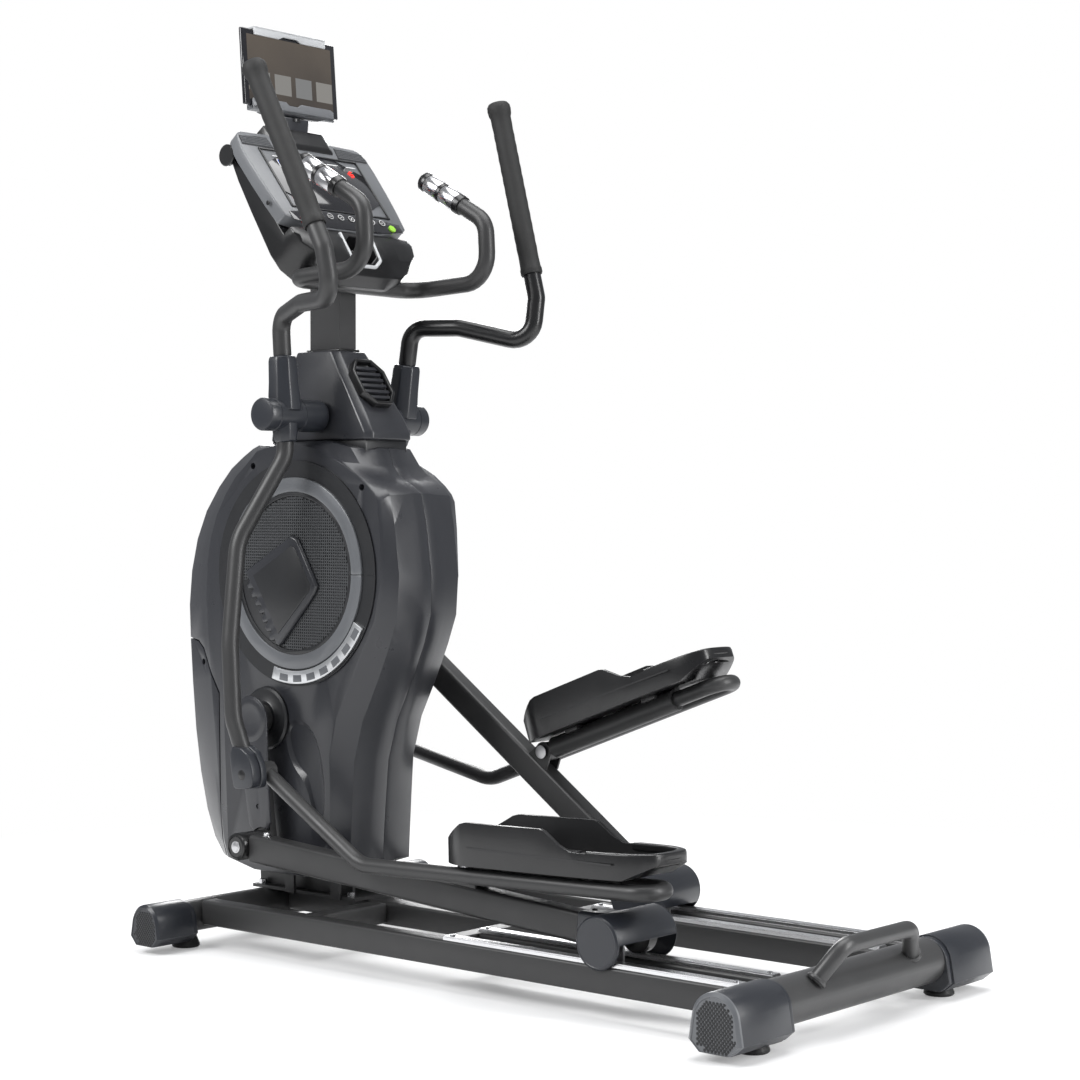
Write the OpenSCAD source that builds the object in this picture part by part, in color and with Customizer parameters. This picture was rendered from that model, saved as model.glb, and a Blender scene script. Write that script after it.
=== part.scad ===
// Elliptical trainer: front drive, two roller arms on a rear track, swinging handles.
// +X points to the rear, where the user steps on, +Y to the user's right, +Z up.
// The origin is on the floor, under the middle of the whole machine.

/* [Base] */
// Distance between the front and the rear stabiliser
wheelbase = 1300; // [1200:10:1500]
// Width over the stabilisers' end caps
base_width = 750; // [700:10:900]
// Diameter of the front stabiliser tube
front_tube_d = 60; // [50:1:64]
// Diameter of the rear stabiliser tube
rear_tube_d = 76; // [64:1:80]
// Wall of the base tubes
tube_wall = 3; // [2:0.5:5]
// Height of the levelling feet's rubber
foot_h = 26; // [20:1:34]
// Diameter of the levelling feet at the floor
foot_d = 52; // [40:1:60]
// Distance of each foot from the mid-plane
foot_y = 272; // [250:1:280]
// Height of the side beams
beam_h = 46; // [36:1:52]
// Height of the top of the side beams above the floor
beam_top = 88; // [80:1:96]
// How far the carry handle reaches behind the rear stabiliser
handle_reach = 64; // [54:1:90]

/* [Tracks] */
// Length of the track rails
rail_length = 616; // [560:1:640]
// Width of one rail
rail_w = 24; // [18:1:26]
// Thickness of one rail
rail_t = 7; // [5:0.5:10]
// Distance of the inner rail from the mid-plane
inner_rail_y = 155; // [152:1:156]
// Distance of the outer rail from the mid-plane
outer_rail_y = 245; // [244:1:247]
// Diameter of the rollers
roller_d = 60; // [50:1:64]
// Diameter of the carriage axle
carriage_axle_d = 20; // [14:1:24]
// Outer diameter of the roller cover
roller_cover_d = 88; // [84:1:96]

/* [Drive] */
// Height of the crank axle
crank_z = 420; // [400:1:440]
// Distance of the crank axle behind the front stabiliser
crank_back = 45; // [30:1:60]
// Radius of the cranks
crank_r = 235; // [200:1:245]
// Lean of the cranks from the vertical at rest, in degrees
crank_lean = 7.9; // [0:0.1:12]
// Diameter of the crank axle
crank_axle_d = 25; // [20:1:30]
// Radius of the crank pulley
crank_pulley_r = 150; // [120:1:165]
// Radius of the pulley on the flywheel
small_pulley_r = 30; // [24:1:40]
// Radius of the flywheel
flywheel_r = 140; // [110:1:145]
// Thickness of the flywheel
flywheel_t = 24; // [16:1:28]

/* [Arms] */
// Length of the roller arms, crank pin to roller axle
arm_length = 914.8; // [900:0.2:930]
// Width of the roller arm's tube
arm_w = 38; // [30:1:40]
// Height of the roller arm's tube
arm_h = 52; // [44:1:56]
// Diameter of the knuckle at the crank pin
knuckle_d = 52; // [46:1:56]
// Distance of the pedal pivot in front of the roller axle
pedal_pivot_back = 345; // [320:1:380]
// Height of the pedal pivot above the arm's centre line
pedal_pivot_up = 50; // [48:1:60]
// Diameter of the pedal pivot bolt
pedal_bolt_d = 12; // [8:1:14]

/* [Pedals] */
// Length of a pedal
pedal_length = 460; // [400:5:480]
// Width of a pedal
pedal_width = 150; // [130:1:158]
// Height of the pedal's side walls above the pedal pivot
pedal_wall_h = 94; // [80:1:110]
// Diameter of the pedal's bent tube
link_tube_d = 28; // [22:1:28]
// Diameter of the support tube under the pedal
support_tube_d = 40; // [34:1:40]
// Distance of the pedal's bent tube from the mid-plane
link_y = 244; // [242:1:245]

/* [Handles] */
// Height of the swing arms' pivot
pivot_z = 998; // [990:1:1010]
// Distance of the swing arms' pivot behind the front stabiliser
pivot_back = 145; // [140:1:150]
// Diameter of the pivot axle
pivot_axle_d = 25; // [20:1:28]
// Diameter of the lower swing tube
lower_tube_d = 32; // [26:1:32]
// Diameter of the upper handle tube
upper_tube_d = 34; // [28:1:36]
// Outer diameter of the foam grip
grip_d = 40; // [38:1:46]
// Half the distance between the two grips
grip_y = 255; // [240:1:275]
// Length of a grip
grip_length = 352; // [300:1:380]

/* [Shroud] */
// Half the width of the shroud over its flat sides
shroud_half_w = 105; // [100:1:108]
// Half the width of the shroud's rear face
shroud_edge_w = 42; // [36:1:60]
// How far the shroud reaches ahead of the front stabiliser
shroud_reach = 233; // [220:1:260]
// Wall of the plastic covers
shell_t = 3; // [2.5:0.5:4]
// Outer radius of the round side cover
disc_r = 214; // [190:1:216]

/* [Console] */
// Width of the console
console_w = 350; // [320:1:380]
// Length of the console's face along its slope
console_l = 244; // [240:1:270]
// Slope of the console's face from the horizontal, in degrees
console_tilt = 51.7; // [46:0.1:58]
// Width of the display window
display_w = 256; // [220:1:280]
// Diameter of the two large keys
key_d = 16; // [12:1:20]
// Diameter of the pulse handlebar's tube
pulse_tube_d = 32; // [26:1:32]
// Distance of the pulse grips from the mid-plane
pulse_y = 165; // [150:1:180]

/* [Tablet] */
// Width of the tablet
tablet_w = 250; // [220:1:260]
// Height of the tablet
tablet_h = 150; // [130:1:160]
// Thickness of the tablet
tablet_t = 8; // [6:0.5:9]
// Lean of the tablet from the vertical, in degrees
tablet_lean = 4.5; // [0:0.5:12]
// How far the spring clip of the holder can be pulled up
clip_travel = 22; // [10:1:30]

/* [Hidden] */
$fn = 48;

left = -1;
right = 1;
eps = 0.01;
// Wall of the bent tubes
bent_wall = 2.5;
// Gap between pieces that seat on each other without touching
seat_gap = 0.3;
// Radial clearance of a shaft that turns in its bore
run_gap = 0.05;
// Gap between bodies that pass each other
pass_gap = 2;

// Stations along X, measured from the origin
front_x = -(wheelbase + handle_reach - shroud_reach) / 2;
rear_x = front_x + wheelbase;
crank_x = front_x + crank_back;
pivot_x = front_x + pivot_back;
front_z = foot_h + front_tube_d / 2;
rear_z = foot_h + rear_tube_d / 2;
beam_z0 = beam_top - beam_h;
rail_top = beam_top + rail_t;
axle_z = rail_top + roller_d / 2;
rail_x1 = rear_x - rear_tube_d / 2 - seat_gap;
rail_x0 = rail_x1 - rail_length;
outer_beam_w = rail_w + 12;
inner_beam_w = rail_w + 8;

// Layers across Y: crank, knuckle, arm, pedal tube and swing arm pass one another
crank_y0 = 130;
crank_y1 = 146;
boss_y1 = 153.6;
knuckle_y0 = boss_y1 + 0.4;
knuckle_y1 = 218;
arm_y = 187;
link_boss_y1 = link_y + link_tube_d / 2 + 0.4;
swing_y = link_boss_y1 + pass_gap / 2 + lower_tube_d / 2 + 0.4;
hub_y0 = 66;
hub_y1 = 213;
sleeve_y = 155;

// Pose at rest: left crank down and left roller back, right crank up and right roller forward
function pin_x(s) = crank_x - s * crank_r * sin(crank_lean);
function pin_z(s) = crank_z + s * crank_r * cos(crank_lean);
function arm_pitch(s) = asin((pin_z(s) - axle_z) / arm_length);
function roller_x(s) = pin_x(s) + arm_length * cos(arm_pitch(s));
function ped_x(s) = roller_x(s) - pedal_pivot_back * cos(arm_pitch(s)) + pedal_pivot_up * sin(arm_pitch(s));
function ped_z(s) = axle_z + pedal_pivot_back * sin(arm_pitch(s)) + pedal_pivot_up * cos(arm_pitch(s));
left_swing_angle = -3.9;
right_swing_angle = 9.5;
left_pedal_tilt = 1.5;
right_pedal_tilt = 20.3;
swing_angle = function(s) s < 0 ? left_swing_angle : right_swing_angle;
pedal_tilt = function(s) s < 0 ? left_pedal_tilt : right_pedal_tilt;

// Colours of the finishes
steel_grey = [0.27, 0.27, 0.27];
shell_grey = [0.24, 0.25, 0.27];
cap_grey = [0.22, 0.23, 0.25];
rubber = [0.09, 0.09, 0.09];
bright = [0.8, 0.8, 0.82];

// ---------- shared shapes ----------

module along_y(r, y0, y1) {
    translate([0, y0, 0]) rotate([-90, 0, 0]) cylinder(r = r, h = y1 - y0);
}

// A plate standing in the X-Z plane, from y0 to y1
module plate_y(y0, y1) {
    translate([0, y1, 0]) rotate([90, 0, 0]) linear_extrude(y1 - y0) children();
}

module on_side(s) {
    if (s < 0) mirror([0, 1, 0]) children();
    else children();
}

module both_sides() {
    children();
    mirror([0, 1, 0]) children();
}

function unit(v) = v / norm(v);

// Points of a circle's arc from angle a0 to a1
function arc(c, r, a0, a1, n = 8) =
    [for (i = [0:n]) let (a = a0 + (a1 - a0) * i / n) [c[0] + r * cos(a), c[1] + r * sin(a)]];

// One bend of a tube at corner b, as points of an arc tangent to both legs
function corner(a, b, c, r, n) = let (
    d0 = unit(b - a), d1 = unit(c - b),
    turn = acos(max(-1, min(1, d0 * d1))),
    start = b - d0 * r * tan(turn / 2),
    side = unit(d1 - d0 * (d0 * d1)),
    centre = start + side * r
) [for (i = [0:n]) let (f = turn * i / n) centre - side * r * cos(f) + d0 * r * sin(f)];

// A bent tube's centre line: straight legs with a bend of radius rs[i] at each inner corner
function bent(pts, rs, n = 6) = concat(
    [pts[0]],
    [for (i = [1:len(pts) - 2]) each corner(pts[i - 1], pts[i], pts[i + 1], rs[i - 1], n)],
    [pts[len(pts) - 1]]
);

function tangents(p) = [for (i = [0:len(p) - 1])
    unit(p[min(i + 1, len(p) - 1)] - p[max(i - 1, 0)])];

function normals(t, u0) = [for (
    i = 0, u = unit(u0 - (u0 * t[0]) * t[0]);
    i < len(t);
    i = i + 1, u = i < len(t) ? unit(u - (u * t[i]) * t[i]) : u
) u];

// A round tube along a path, as one polyhedron with flat ends
module sweep(path, r, sides = 16, start = [0.1, 0.2, 1], wall = bent_wall) {
    t = tangents(path);
    u = normals(t, start);
    n = len(path);
    m = n * sides;
    points = [for (q = [r, r - wall]) for (i = [0:n - 1]) let (w = cross(t[i], u[i]))
        for (k = [0:sides - 1])
            path[i] + q * (u[i] * cos(360 * k / sides) + w * sin(360 * k / sides))];
    outer = [for (i = [0:n - 2]) for (k = [0:sides - 1]) let (j = (k + 1) % sides)
        [i * sides + k, (i + 1) * sides + k, (i + 1) * sides + j, i * sides + j]];
    inner = [for (f = outer) [for (k = [3:-1:0]) m + f[k]]];
    first = [for (k = [0:sides - 1]) let (j = (k + 1) % sides) [k, j, m + j, m + k]];
    last = [for (k = [0:sides - 1]) let (j = (k + 1) % sides)
        [m - sides + j, m - sides + k, 2 * m - sides + k, 2 * m - sides + j]];
    polyhedron(points, concat(outer, inner, first, last));
}

// A solid through outlines in the X-Z plane, each at its own y
module loft(outlines, ys) {
    m = len(outlines[0]);
    n = len(ys);
    points = [for (i = [0:n - 1]) for (p = outlines[i]) [p[0], ys[i], p[1]]];
    walls = [for (i = [0:n - 2]) for (k = [0:m - 1]) let (j = (k + 1) % m)
        [i * m + k, i * m + j, (i + 1) * m + j, (i + 1) * m + k]];
    ends = [[for (k = [m - 1:-1:0]) k], [for (k = [0:m - 1]) (n - 1) * m + k]];
    polyhedron(points, concat(walls, ends));
}

// Outline moved inwards by d; the outline runs anticlockwise
function inset(p, d) = let (n = len(p)) [for (i = [0:n - 1]) let (
    a = unit(p[i] - p[(i + n - 1) % n]),
    b = unit(p[(i + 1) % n] - p[i]),
    na = [-a[1], a[0]], nb = [-b[1], b[0]],
    mid = unit(na + nb)
) p[i] + mid * d / max(0.35, mid * na)];

function mix(p, q, f) = [for (i = [0:len(p) - 1]) p[i] * (1 - f) + q[i] * f];

// ---------- base ----------

module hollow_bar(r, wall, half) {
    difference() {
        along_y(r, -half, half);
        along_y(r - wall, -half - 1, half + 1);
    }
}

cap_floor = 14;
stud_d = 10;
front_half = base_width / 2 - 45;
rear_half = base_width / 2 - 45;

module stud_holes(z) {
    for (s = [left, right]) translate([0, s * foot_y, -z])
        cylinder(d = stud_d + 0.4, h = z);
}

module front_stabiliser() {
    color(steel_grey) translate([front_x, 0, front_z]) difference() {
        hollow_bar(front_tube_d / 2, tube_wall, front_half);
        stud_holes(front_z);
    }
}

module rear_stabiliser() {
    color(steel_grey) translate([rear_x, 0, rear_z]) difference() {
        hollow_bar(rear_tube_d / 2, tube_wall, rear_half);
        stud_holes(rear_z);
    }
}

// Outline of an end cap, seen from its side: round top, drawn-in chin
function cap_outline(w, top) = concat(
    [[-0.30 * w, cap_floor], [0.30 * w, cap_floor], [0.5 * w, cap_floor + 16]],
    arc([0, top - 0.44 * w], 0.44 * w, 12, 168, 14),
    [[-0.5 * w, cap_floor + 16]]
);

module end_cap(tube_d, tube_z, half, inner_y, w) {
    top = tube_z + tube_d / 2 + 4;
    difference() {
        plate_y(inner_y, base_width / 2) polygon(cap_outline(w, top));
        translate([0, 0, tube_z]) along_y(tube_d / 2 + seat_gap, inner_y - 1, half + seat_gap);
        translate([0, foot_y, 0]) cylinder(d = foot_d + 6, h = foot_h + 2);
        translate([-w, inner_y - 1, 0]) cube([2 * w, foot_y - inner_y + 1, foot_h]);
        // the side beam ends against the tube, in front of the cap
        translate([-w, 0, 0]) cube([w - tube_d / 2 + 9, outer_rail_y + outer_beam_w / 2, rail_top + 2]);
    }
}

module front_end_caps() {
    color(cap_grey) translate([front_x, 0, 0]) both_sides()
        end_cap(front_tube_d, front_z, front_half, base_width / 2 - 100, 84);
}

module rear_end_caps() {
    color(cap_grey) translate([rear_x, 0, 0]) both_sides()
        end_cap(rear_tube_d, rear_z, rear_half, base_width / 2 - 148, 100);
}

module foot() {
    rotate_extrude() polygon([
        [0, 0], [foot_d / 2 - 2, 0], [foot_d / 2, 2], [foot_d / 2, 5],
        [foot_d / 2 - 8, foot_h - 0.6], [stud_d / 2, foot_h - 0.6],
        [stud_d / 2, foot_h + 12], [0, foot_h + 12]
    ]);
}

module levelling_feet() {
    color(rubber) for (x = [front_x, rear_x]) for (s = [left, right])
        translate([x, s * foot_y, 0]) foot();
}

module box_tube(size, wall) {
    difference() {
        translate([0, -size[1] / 2, 0]) cube(size);
        translate([-1, -size[1] / 2 + wall, wall])
            cube([size[0] + 2, size[1] - 2 * wall, size[2] - 2 * wall]);
    }
}

module side_beams() {
    color(steel_grey) both_sides() difference() {
        translate([front_x, outer_rail_y - 2, beam_z0])
            box_tube([wheelbase, outer_beam_w, beam_h], tube_wall);
        translate([front_x, 0, front_z]) along_y(front_tube_d / 2 + seat_gap, 0, base_width);
        translate([rear_x, 0, rear_z]) along_y(rear_tube_d / 2 + seat_gap, 0, base_width);
    }
}

centre_w = 80;
cross_w = 40;
cross_gap = 0.2;
front_cross_x = front_x + 262;
rear_cross_x = rail_x0 - cross_w + 2;

// Cross members and the two beams under the inner rails
module inner_frame() {
    side_y = outer_rail_y - 2 - outer_beam_w / 2 - cross_gap;
    inner_y0 = inner_rail_y - inner_beam_w / 2;
    color(steel_grey) both_sides() {
        translate([front_cross_x, centre_w / 2 + cross_gap, beam_z0 + 4])
            cube([cross_w, side_y - centre_w / 2 - cross_gap, beam_h - 8]);
        difference() {
            translate([rear_cross_x + cross_w + cross_gap, inner_rail_y, beam_z0])
                box_tube([rear_x - rear_cross_x - cross_w, inner_beam_w, beam_h], tube_wall);
            translate([rear_x, 0, rear_z])
                along_y(rear_tube_d / 2 + seat_gap, inner_y0 - 5, base_width);
        }
    }
    color(steel_grey) translate([rear_cross_x, -side_y, beam_z0 + 2])
        cube([cross_w, 2 * side_y, beam_h - 4]);
}

module centre_beam() {
    color(steel_grey) difference() {
        translate([front_x, 0, beam_z0])
            box_tube([rear_cross_x - cross_gap - front_x, centre_w, beam_h - 3], tube_wall);
        translate([front_x, 0, front_z]) along_y(front_tube_d / 2 + seat_gap, -centre_w, centre_w);
    }
}

module track_rails() {
    color(bright) both_sides() for (y = [inner_rail_y, outer_rail_y])
        translate([rail_x0, y - rail_w / 2, beam_top]) {
            cube([rail_length, rail_w, rail_t - 2]);
            translate([0, 2, 0]) cube([rail_length, rail_w - 4, rail_t]);
        }
}

screw_d = 9;
module frame_screws() {
    flange_top = beam_z0 + beam_h - 3 + flange_t;
    color(bright) both_sides() {
        for (y = [inner_rail_y, outer_rail_y]) for (x = [rail_x0 + 12, rail_x1 - 12])
            translate([x, y, rail_top]) cylinder(d = screw_d, h = 2.4);
        for (x = [front_x - 12, front_x + 232])
            translate([x, flange_w / 2 - 10, flange_top + 0.05]) cylinder(d = 16, h = 9, $fn = 6);
    }
}

handle_d = 28;
module carry_handle() {
    top = rear_z + rear_tube_d / 2 + 40;
    foot_r = rear_tube_d / 2;
    path = bent([
        [rear_x + foot_r * 0.66, -142, rear_z + foot_r * 0.66],
        [rear_x + handle_reach - handle_d / 2, -98, top],
        [rear_x + handle_reach - handle_d / 2, 98, top],
        [rear_x + foot_r * 0.66, 142, rear_z + foot_r * 0.66]
    ], [34, 34]);
    color(steel_grey) difference() {
        sweep(path, handle_d / 2);
        translate([rear_x, 0, rear_z]) along_y(rear_tube_d / 2 + 0.2, -200, 200);
    }
}

// ---------- drive ----------

plate_y0 = 48;
plate_y1 = 54;
flange_t = 6;
flange_w = 150;
bearing_d = 52;
bearing_w = 15;
bearing_y0 = 46;
wheel_x = front_x + 90;
wheel_z = 700;
pin_d = 17;
belt_y0 = 22;
belt_w = 16;
belt_t = 4;
mast_x = front_x + 118;
mast_l = 80;
mast_w = 44;
mast_z0 = 880;
frame_floor = beam_z0 + beam_h - 3;

frame_plate = [[-30, 0], [225, 0], [222, 210], [262, 550], [262, 675],
    [190, 812], [190, 850], [60, 850], [40, 670], [-20, 390], [-40, 210]];

module drive_frame() {
    color(steel_grey) difference() {
        union() {
            for (s = [left, right]) on_side(s) {
                translate([front_x, 0, frame_floor + flange_t])
                    plate_y(plate_y0, plate_y1) polygon(frame_plate);
                translate([crank_x, 0, crank_z]) along_y(bearing_d / 2 + 7, bearing_y0 - 2, plate_y1 + 9);
            }
            translate([front_x - 30, -flange_w / 2, frame_floor]) cube([280, flange_w, flange_t + eps]);
            // posts that the shroud's floor is held by
            both_sides() for (x = [front_x + 66, front_x + 190])
                translate([x, flange_w / 2 - 1, frame_floor])
                    cube([24, 6 - seat_gap, shroud_floor + shell_t - frame_floor]);
            translate([wheel_x, 0, wheel_z]) along_y(pin_d / 2, -plate_y0 - 1, plate_y0 + 1);
            translate([mast_x - mast_l / 2 - 8, -plate_y0 - 1, mast_z0])
                cube([mast_l + 16, 2 * plate_y0 + 2, 50]);
        }
        translate([crank_x, 0, crank_z]) along_y(bearing_d / 2 + 0.02, -200, 200);
        translate([front_x, 0, front_z]) along_y(front_tube_d / 2 + seat_gap, -200, 200);
        translate([mast_x - mast_l / 2 - seat_gap, -mast_w / 2 - seat_gap, mast_z0 + 8])
            cube([mast_l + 2 * seat_gap, mast_w + 2 * seat_gap, 60]);
    }
}

module crank_bearings() {
    color(bright) translate([crank_x, 0, crank_z]) both_sides() difference() {
        along_y(bearing_d / 2, bearing_y0, bearing_y0 + bearing_w);
        along_y(crank_axle_d / 2 + run_gap, bearing_y0 - 1, bearing_y0 + bearing_w + 1);
    }
}

module brake_coil() {
    reach = flywheel_r - 25;
    slot = flywheel_t / 2 + 3;
    color([0.45, 0.25, 0.12]) translate([wheel_x, 0, wheel_z - 30]) difference() {
        translate([reach, -plate_y0 + 0.2, 0]) cube([60, 2 * plate_y0 - 0.4, 60]);
        translate([reach - 1, -slot, -1]) cube([flywheel_r + 4 - reach, 2 * slot, 62]);
        translate([reach - 1, slot - eps, -1]) cube([flywheel_r - reach, belt_y0 + belt_w + 4 - slot, 62]);
    }
}

module control_board() {
    color([0.1, 0.35, 0.2]) translate([front_x + 100, plate_y1 + seat_gap, 580]) {
        cube([90, 3, 110]);
        for (z = [12, 48, 84]) translate([14, 3 - eps, z]) cube([56, 14, 18]);
    }
}

// Closed loop round two circles in the X-Z plane
function loop(c0, r0, c1, r1, n = 24) = let (
    d = c1 - c0, lead = atan2(d[1], d[0]), turn = acos((r0 - r1) / norm(d))
) concat(arc(c0, r0, lead + turn, lead + 360 - turn, n), arc(c1, r1, lead - turn, lead + turn, n));

module drive_belt() {
    c0 = [crank_x, crank_z];
    c1 = [wheel_x, wheel_z];
    color(rubber) plate_y(belt_y0, belt_y0 + belt_w) difference() {
        polygon(loop(c0, crank_pulley_r + belt_t, c1, small_pulley_r + belt_t));
        polygon(loop(c0, crank_pulley_r + 0.7, c1, small_pulley_r + 0.7));
    }
}

module crank_axle() {
    color(bright) translate([crank_x, 0, crank_z]) along_y(crank_axle_d / 2, -crank_y1, crank_y1);
}

module crank_pulley() {
    color([0.2, 0.2, 0.2]) translate([crank_x, 0, crank_z]) difference() {
        union() {
            along_y(crank_pulley_r, belt_y0, belt_y0 + belt_w);
            along_y(28, belt_y0 - 14, belt_y0 + belt_w + 4);
        }
        along_y(crank_axle_d / 2 + run_gap, 0, 100);
        for (a = [0:60:300]) rotate([0, a, 0]) translate([crank_pulley_r * 0.6, 0, 0])
            along_y(crank_pulley_r * 0.22, 0, 100);
    }
}

module flywheel() {
    color([0.35, 0.35, 0.36]) translate([wheel_x, 0, wheel_z]) difference() {
        union() {
            along_y(flywheel_r, -flywheel_t / 2, flywheel_t / 2);
            along_y(small_pulley_r, flywheel_t / 2 - eps, belt_y0 + belt_w + 2);
        }
        along_y(pin_d / 2 + run_gap, -60, 60);
        rotate([90, 0, 0]) rotate_extrude() translate([55, flywheel_t / 2 - 5])
            square([flywheel_r - 80, 6]);
        rotate([90, 0, 0]) rotate_extrude() translate([55, -flywheel_t / 2 - 1])
            square([flywheel_r - 80, 6]);
    }
}

// ---------- cranks ----------

// Puts children in the crank's frame: hub at the origin, pin at [0, 0, -crank_r] for the left
module crank_frame(s) {
    translate([crank_x, 0, crank_z]) rotate([0, s < 0 ? -crank_lean : 180 - crank_lean, 0])
        on_side(s) children();
}

crank_w = 44;
module crank_arm(s) {
    color(steel_grey) crank_frame(s) difference() {
        union() {
            along_y(28, shroud_half_w + 13, crank_y1);
            translate([-crank_w / 2, crank_y0, -crank_r]) cube([crank_w, crank_y1 - crank_y0, crank_r]);
            translate([0, 0, -crank_r]) along_y(crank_w / 2 + 3, crank_y0, boss_y1);
        }
        along_y(crank_axle_d / 2 + run_gap, 0, 200);
    }
}

module left_crank_arm() { crank_arm(left); }
module right_crank_arm() { crank_arm(right); }

module crank_covers() {
    color(shell_grey) for (s = [left, right]) crank_frame(s) difference() {
        union() {
            along_y(46, crank_y1 + seat_gap, crank_y1 + 6);
            translate([-29, crank_y1 + seat_gap, -crank_r + 10]) cube([58, 5, crank_r - 10]);
        }
        translate([0, 0, -crank_r]) along_y(crank_w / 2 + 4, crank_y1 - 1, crank_y1 + 20);
    }
}

// ---------- roller arms ----------

module arm_frame(s) {
    translate([roller_x(s), 0, axle_z]) rotate([0, arm_pitch(s), 0]) on_side(s) children();
}

hub_r = 22;
arm_wall = 3;
cheek_t = 5;
cheek_r = 19;

module cheek(y) {
    translate([-pedal_pivot_back, 0, 0]) plate_y(y, y + cheek_t)
        polygon(concat([[-cheek_r - 6, arm_h / 2 - 1], [cheek_r + 6, arm_h / 2 - 1]],
            arc([0, pedal_pivot_up], cheek_r, 0, 180, 12)));
}

module roller_arm(s) {
    color(steel_grey) arm_frame(s) difference() {
        union() {
            difference() {
                translate([-arm_length, arm_y, -arm_h / 2]) box_tube([arm_length, arm_w, arm_h], arm_wall);
                translate([-arm_length, 0, 0]) along_y(knuckle_d / 2 - 1, 0, 300);
                along_y(hub_r - 1, 0, 300);
                translate([-hub_r / 2, arm_y - arm_w, -arm_h]) cube([hub_r, 2 * arm_w, 2 * arm_h]);
            }
            translate([-arm_length, 0, 0]) along_y(knuckle_d / 2, knuckle_y0, knuckle_y1);
            along_y(hub_r, arm_y - arm_w / 2, arm_y + arm_w / 2);
            cheek(arm_y - arm_w / 2);
            cheek(arm_y + arm_w / 2 - cheek_t);
            translate([-pedal_pivot_back, 0, pedal_pivot_up])
                along_y(pedal_bolt_d / 2, arm_y - arm_w / 2 - 7, arm_y + arm_w / 2 + 7);
            for (y = [arm_y - arm_w / 2 - 7, arm_y + arm_w / 2 - eps])
                translate([-pedal_pivot_back, y, pedal_pivot_up]) rotate([-90, 0, 0])
                    cylinder(d = 21, h = 7, $fn = 6);
        }
        along_y(carriage_axle_d / 2 + run_gap, 0, 300);
    }
}

module left_roller_arm() { roller_arm(left); }
module right_roller_arm() { roller_arm(right); }

cover_y0 = 112;
cover_y1 = 262;
module roller_cover(s) {
    r = roller_cover_d / 2;
    color(cap_grey) arm_frame(s) difference() {
        union() {
            difference() {
                along_y(r, cover_y0, cover_y1);
                along_y(r - 4, cover_y0 - 1, cover_y1 + 1);
                // the lower rear is open for the rollers
                plate_y(cover_y0 - 1, cover_y1 + 1)
                    polygon(concat([[0, 0]], arc([0, 0], 2 * r, -146, 4, 10)));
            }
            along_y(r, cover_y0 - 4, cover_y0 + eps);
            along_y(r, cover_y1 - eps, cover_y1 + 6);
        }
        translate([-3 * r, arm_y - arm_w / 2 - 0.5, -arm_h / 2 - 0.5]) cube([3 * r, arm_w + 1, arm_h + 1]);
    }
}

module left_roller_cover() { roller_cover(left); }
module right_roller_cover() { roller_cover(right); }

module carriage_axle(s) {
    plate_x = 14;
    color(bright) translate([roller_x(s), 0, axle_z]) on_side(s) union() {
        along_y(carriage_axle_d / 2, cover_y0 + 2, cover_y1 - 2);
        translate([-plate_x, arm_y + arm_w / 2 + 5, -axle_z + beam_top - 12])
            cube([2 * plate_x, 4, axle_z - beam_top + 24]);
    }
}

module left_carriage_axle() { carriage_axle(left); }
module right_carriage_axle() { carriage_axle(right); }

module rollers(s) {
    color([0.13, 0.13, 0.14]) translate([roller_x(s), 0, axle_z]) on_side(s)
        for (y = [inner_rail_y, outer_rail_y]) difference() {
            along_y(roller_d / 2, y - rail_w / 2 + 1.5, y + rail_w / 2 - 1.5);
            along_y(carriage_axle_d / 2 + run_gap, y - rail_w, y + rail_w);
        }
}

module left_rollers() { rollers(left); }
module right_rollers() { rollers(right); }

// ---------- pedals ----------

module pedal_arm_frame(s) {
    translate([ped_x(s), 0, ped_z(s)]) rotate([0, -pedal_tilt(s), 0]) on_side(s) children();
}

support_y = 176;
support_x0 = 26;
support_x1 = 330;
turn_r = 33;
link_end = [-456.6, 154.5];
pedal_bend_x = -213;

module pedal_frame(s) {
    path = bent([
        [support_x1 - 4, support_y, 0], [pedal_length - 34, support_y, 0],
        [pedal_length - 34, link_y, 0], [pedal_bend_x, link_y, 0],
        [link_end[0], link_y, link_end[1]]
    ], [turn_r, turn_r, 80]);
    color(steel_grey) pedal_arm_frame(s) difference() {
        union() {
            along_y(18, arm_y - arm_w / 2 + cheek_t + 0.5, arm_y + arm_w / 2 - cheek_t - 0.5);
            translate([0, arm_y - 13, -13]) cube([support_x0 + 8, 26, 26]);
            translate([support_x0, support_y, 0]) rotate([0, 90, 0])
                cylinder(d = support_tube_d, h = support_x1 - support_x0);
            sweep(path, link_tube_d / 2);
            translate([link_end[0], 0, link_end[1]])
                along_y(link_tube_d / 2 + 4, link_y - link_tube_d / 2 - 2, link_boss_y1);
        }
        along_y(pedal_bolt_d / 2 + run_gap, 0, 400);
    }
}

module left_pedal_frame() { pedal_frame(left); }
module right_pedal_frame() { pedal_frame(right); }

pedal_y = 192;
pedal_floor = support_tube_d / 2 + seat_gap;
deck_z = 38;
rim_z = 60;
pedal_x0 = -18;

function pedal_side(front, rear) = [
    [front + 16, pedal_floor], [rear - 55, pedal_floor], [rear - 4, rim_z - 16], [rear, rim_z - 2],
    [rear - 30, rim_z], [front + 305, rim_z], [front + 256, pedal_wall_h],
    [front + 68, pedal_wall_h], [front, rim_z - 8]
];
function pedal_plan(front, rear, half) = [
    [front, -half * 0.55], [front + 45, -half * 0.96], [front + 90, -half], [rear - 70, -half],
    [rear - 12, -half * 0.7], [rear, -half * 0.4], [rear, half * 0.4], [rear - 12, half * 0.7],
    [rear - 70, half], [front + 90, half], [front + 45, half * 0.96], [front, half * 0.55]
];

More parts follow.
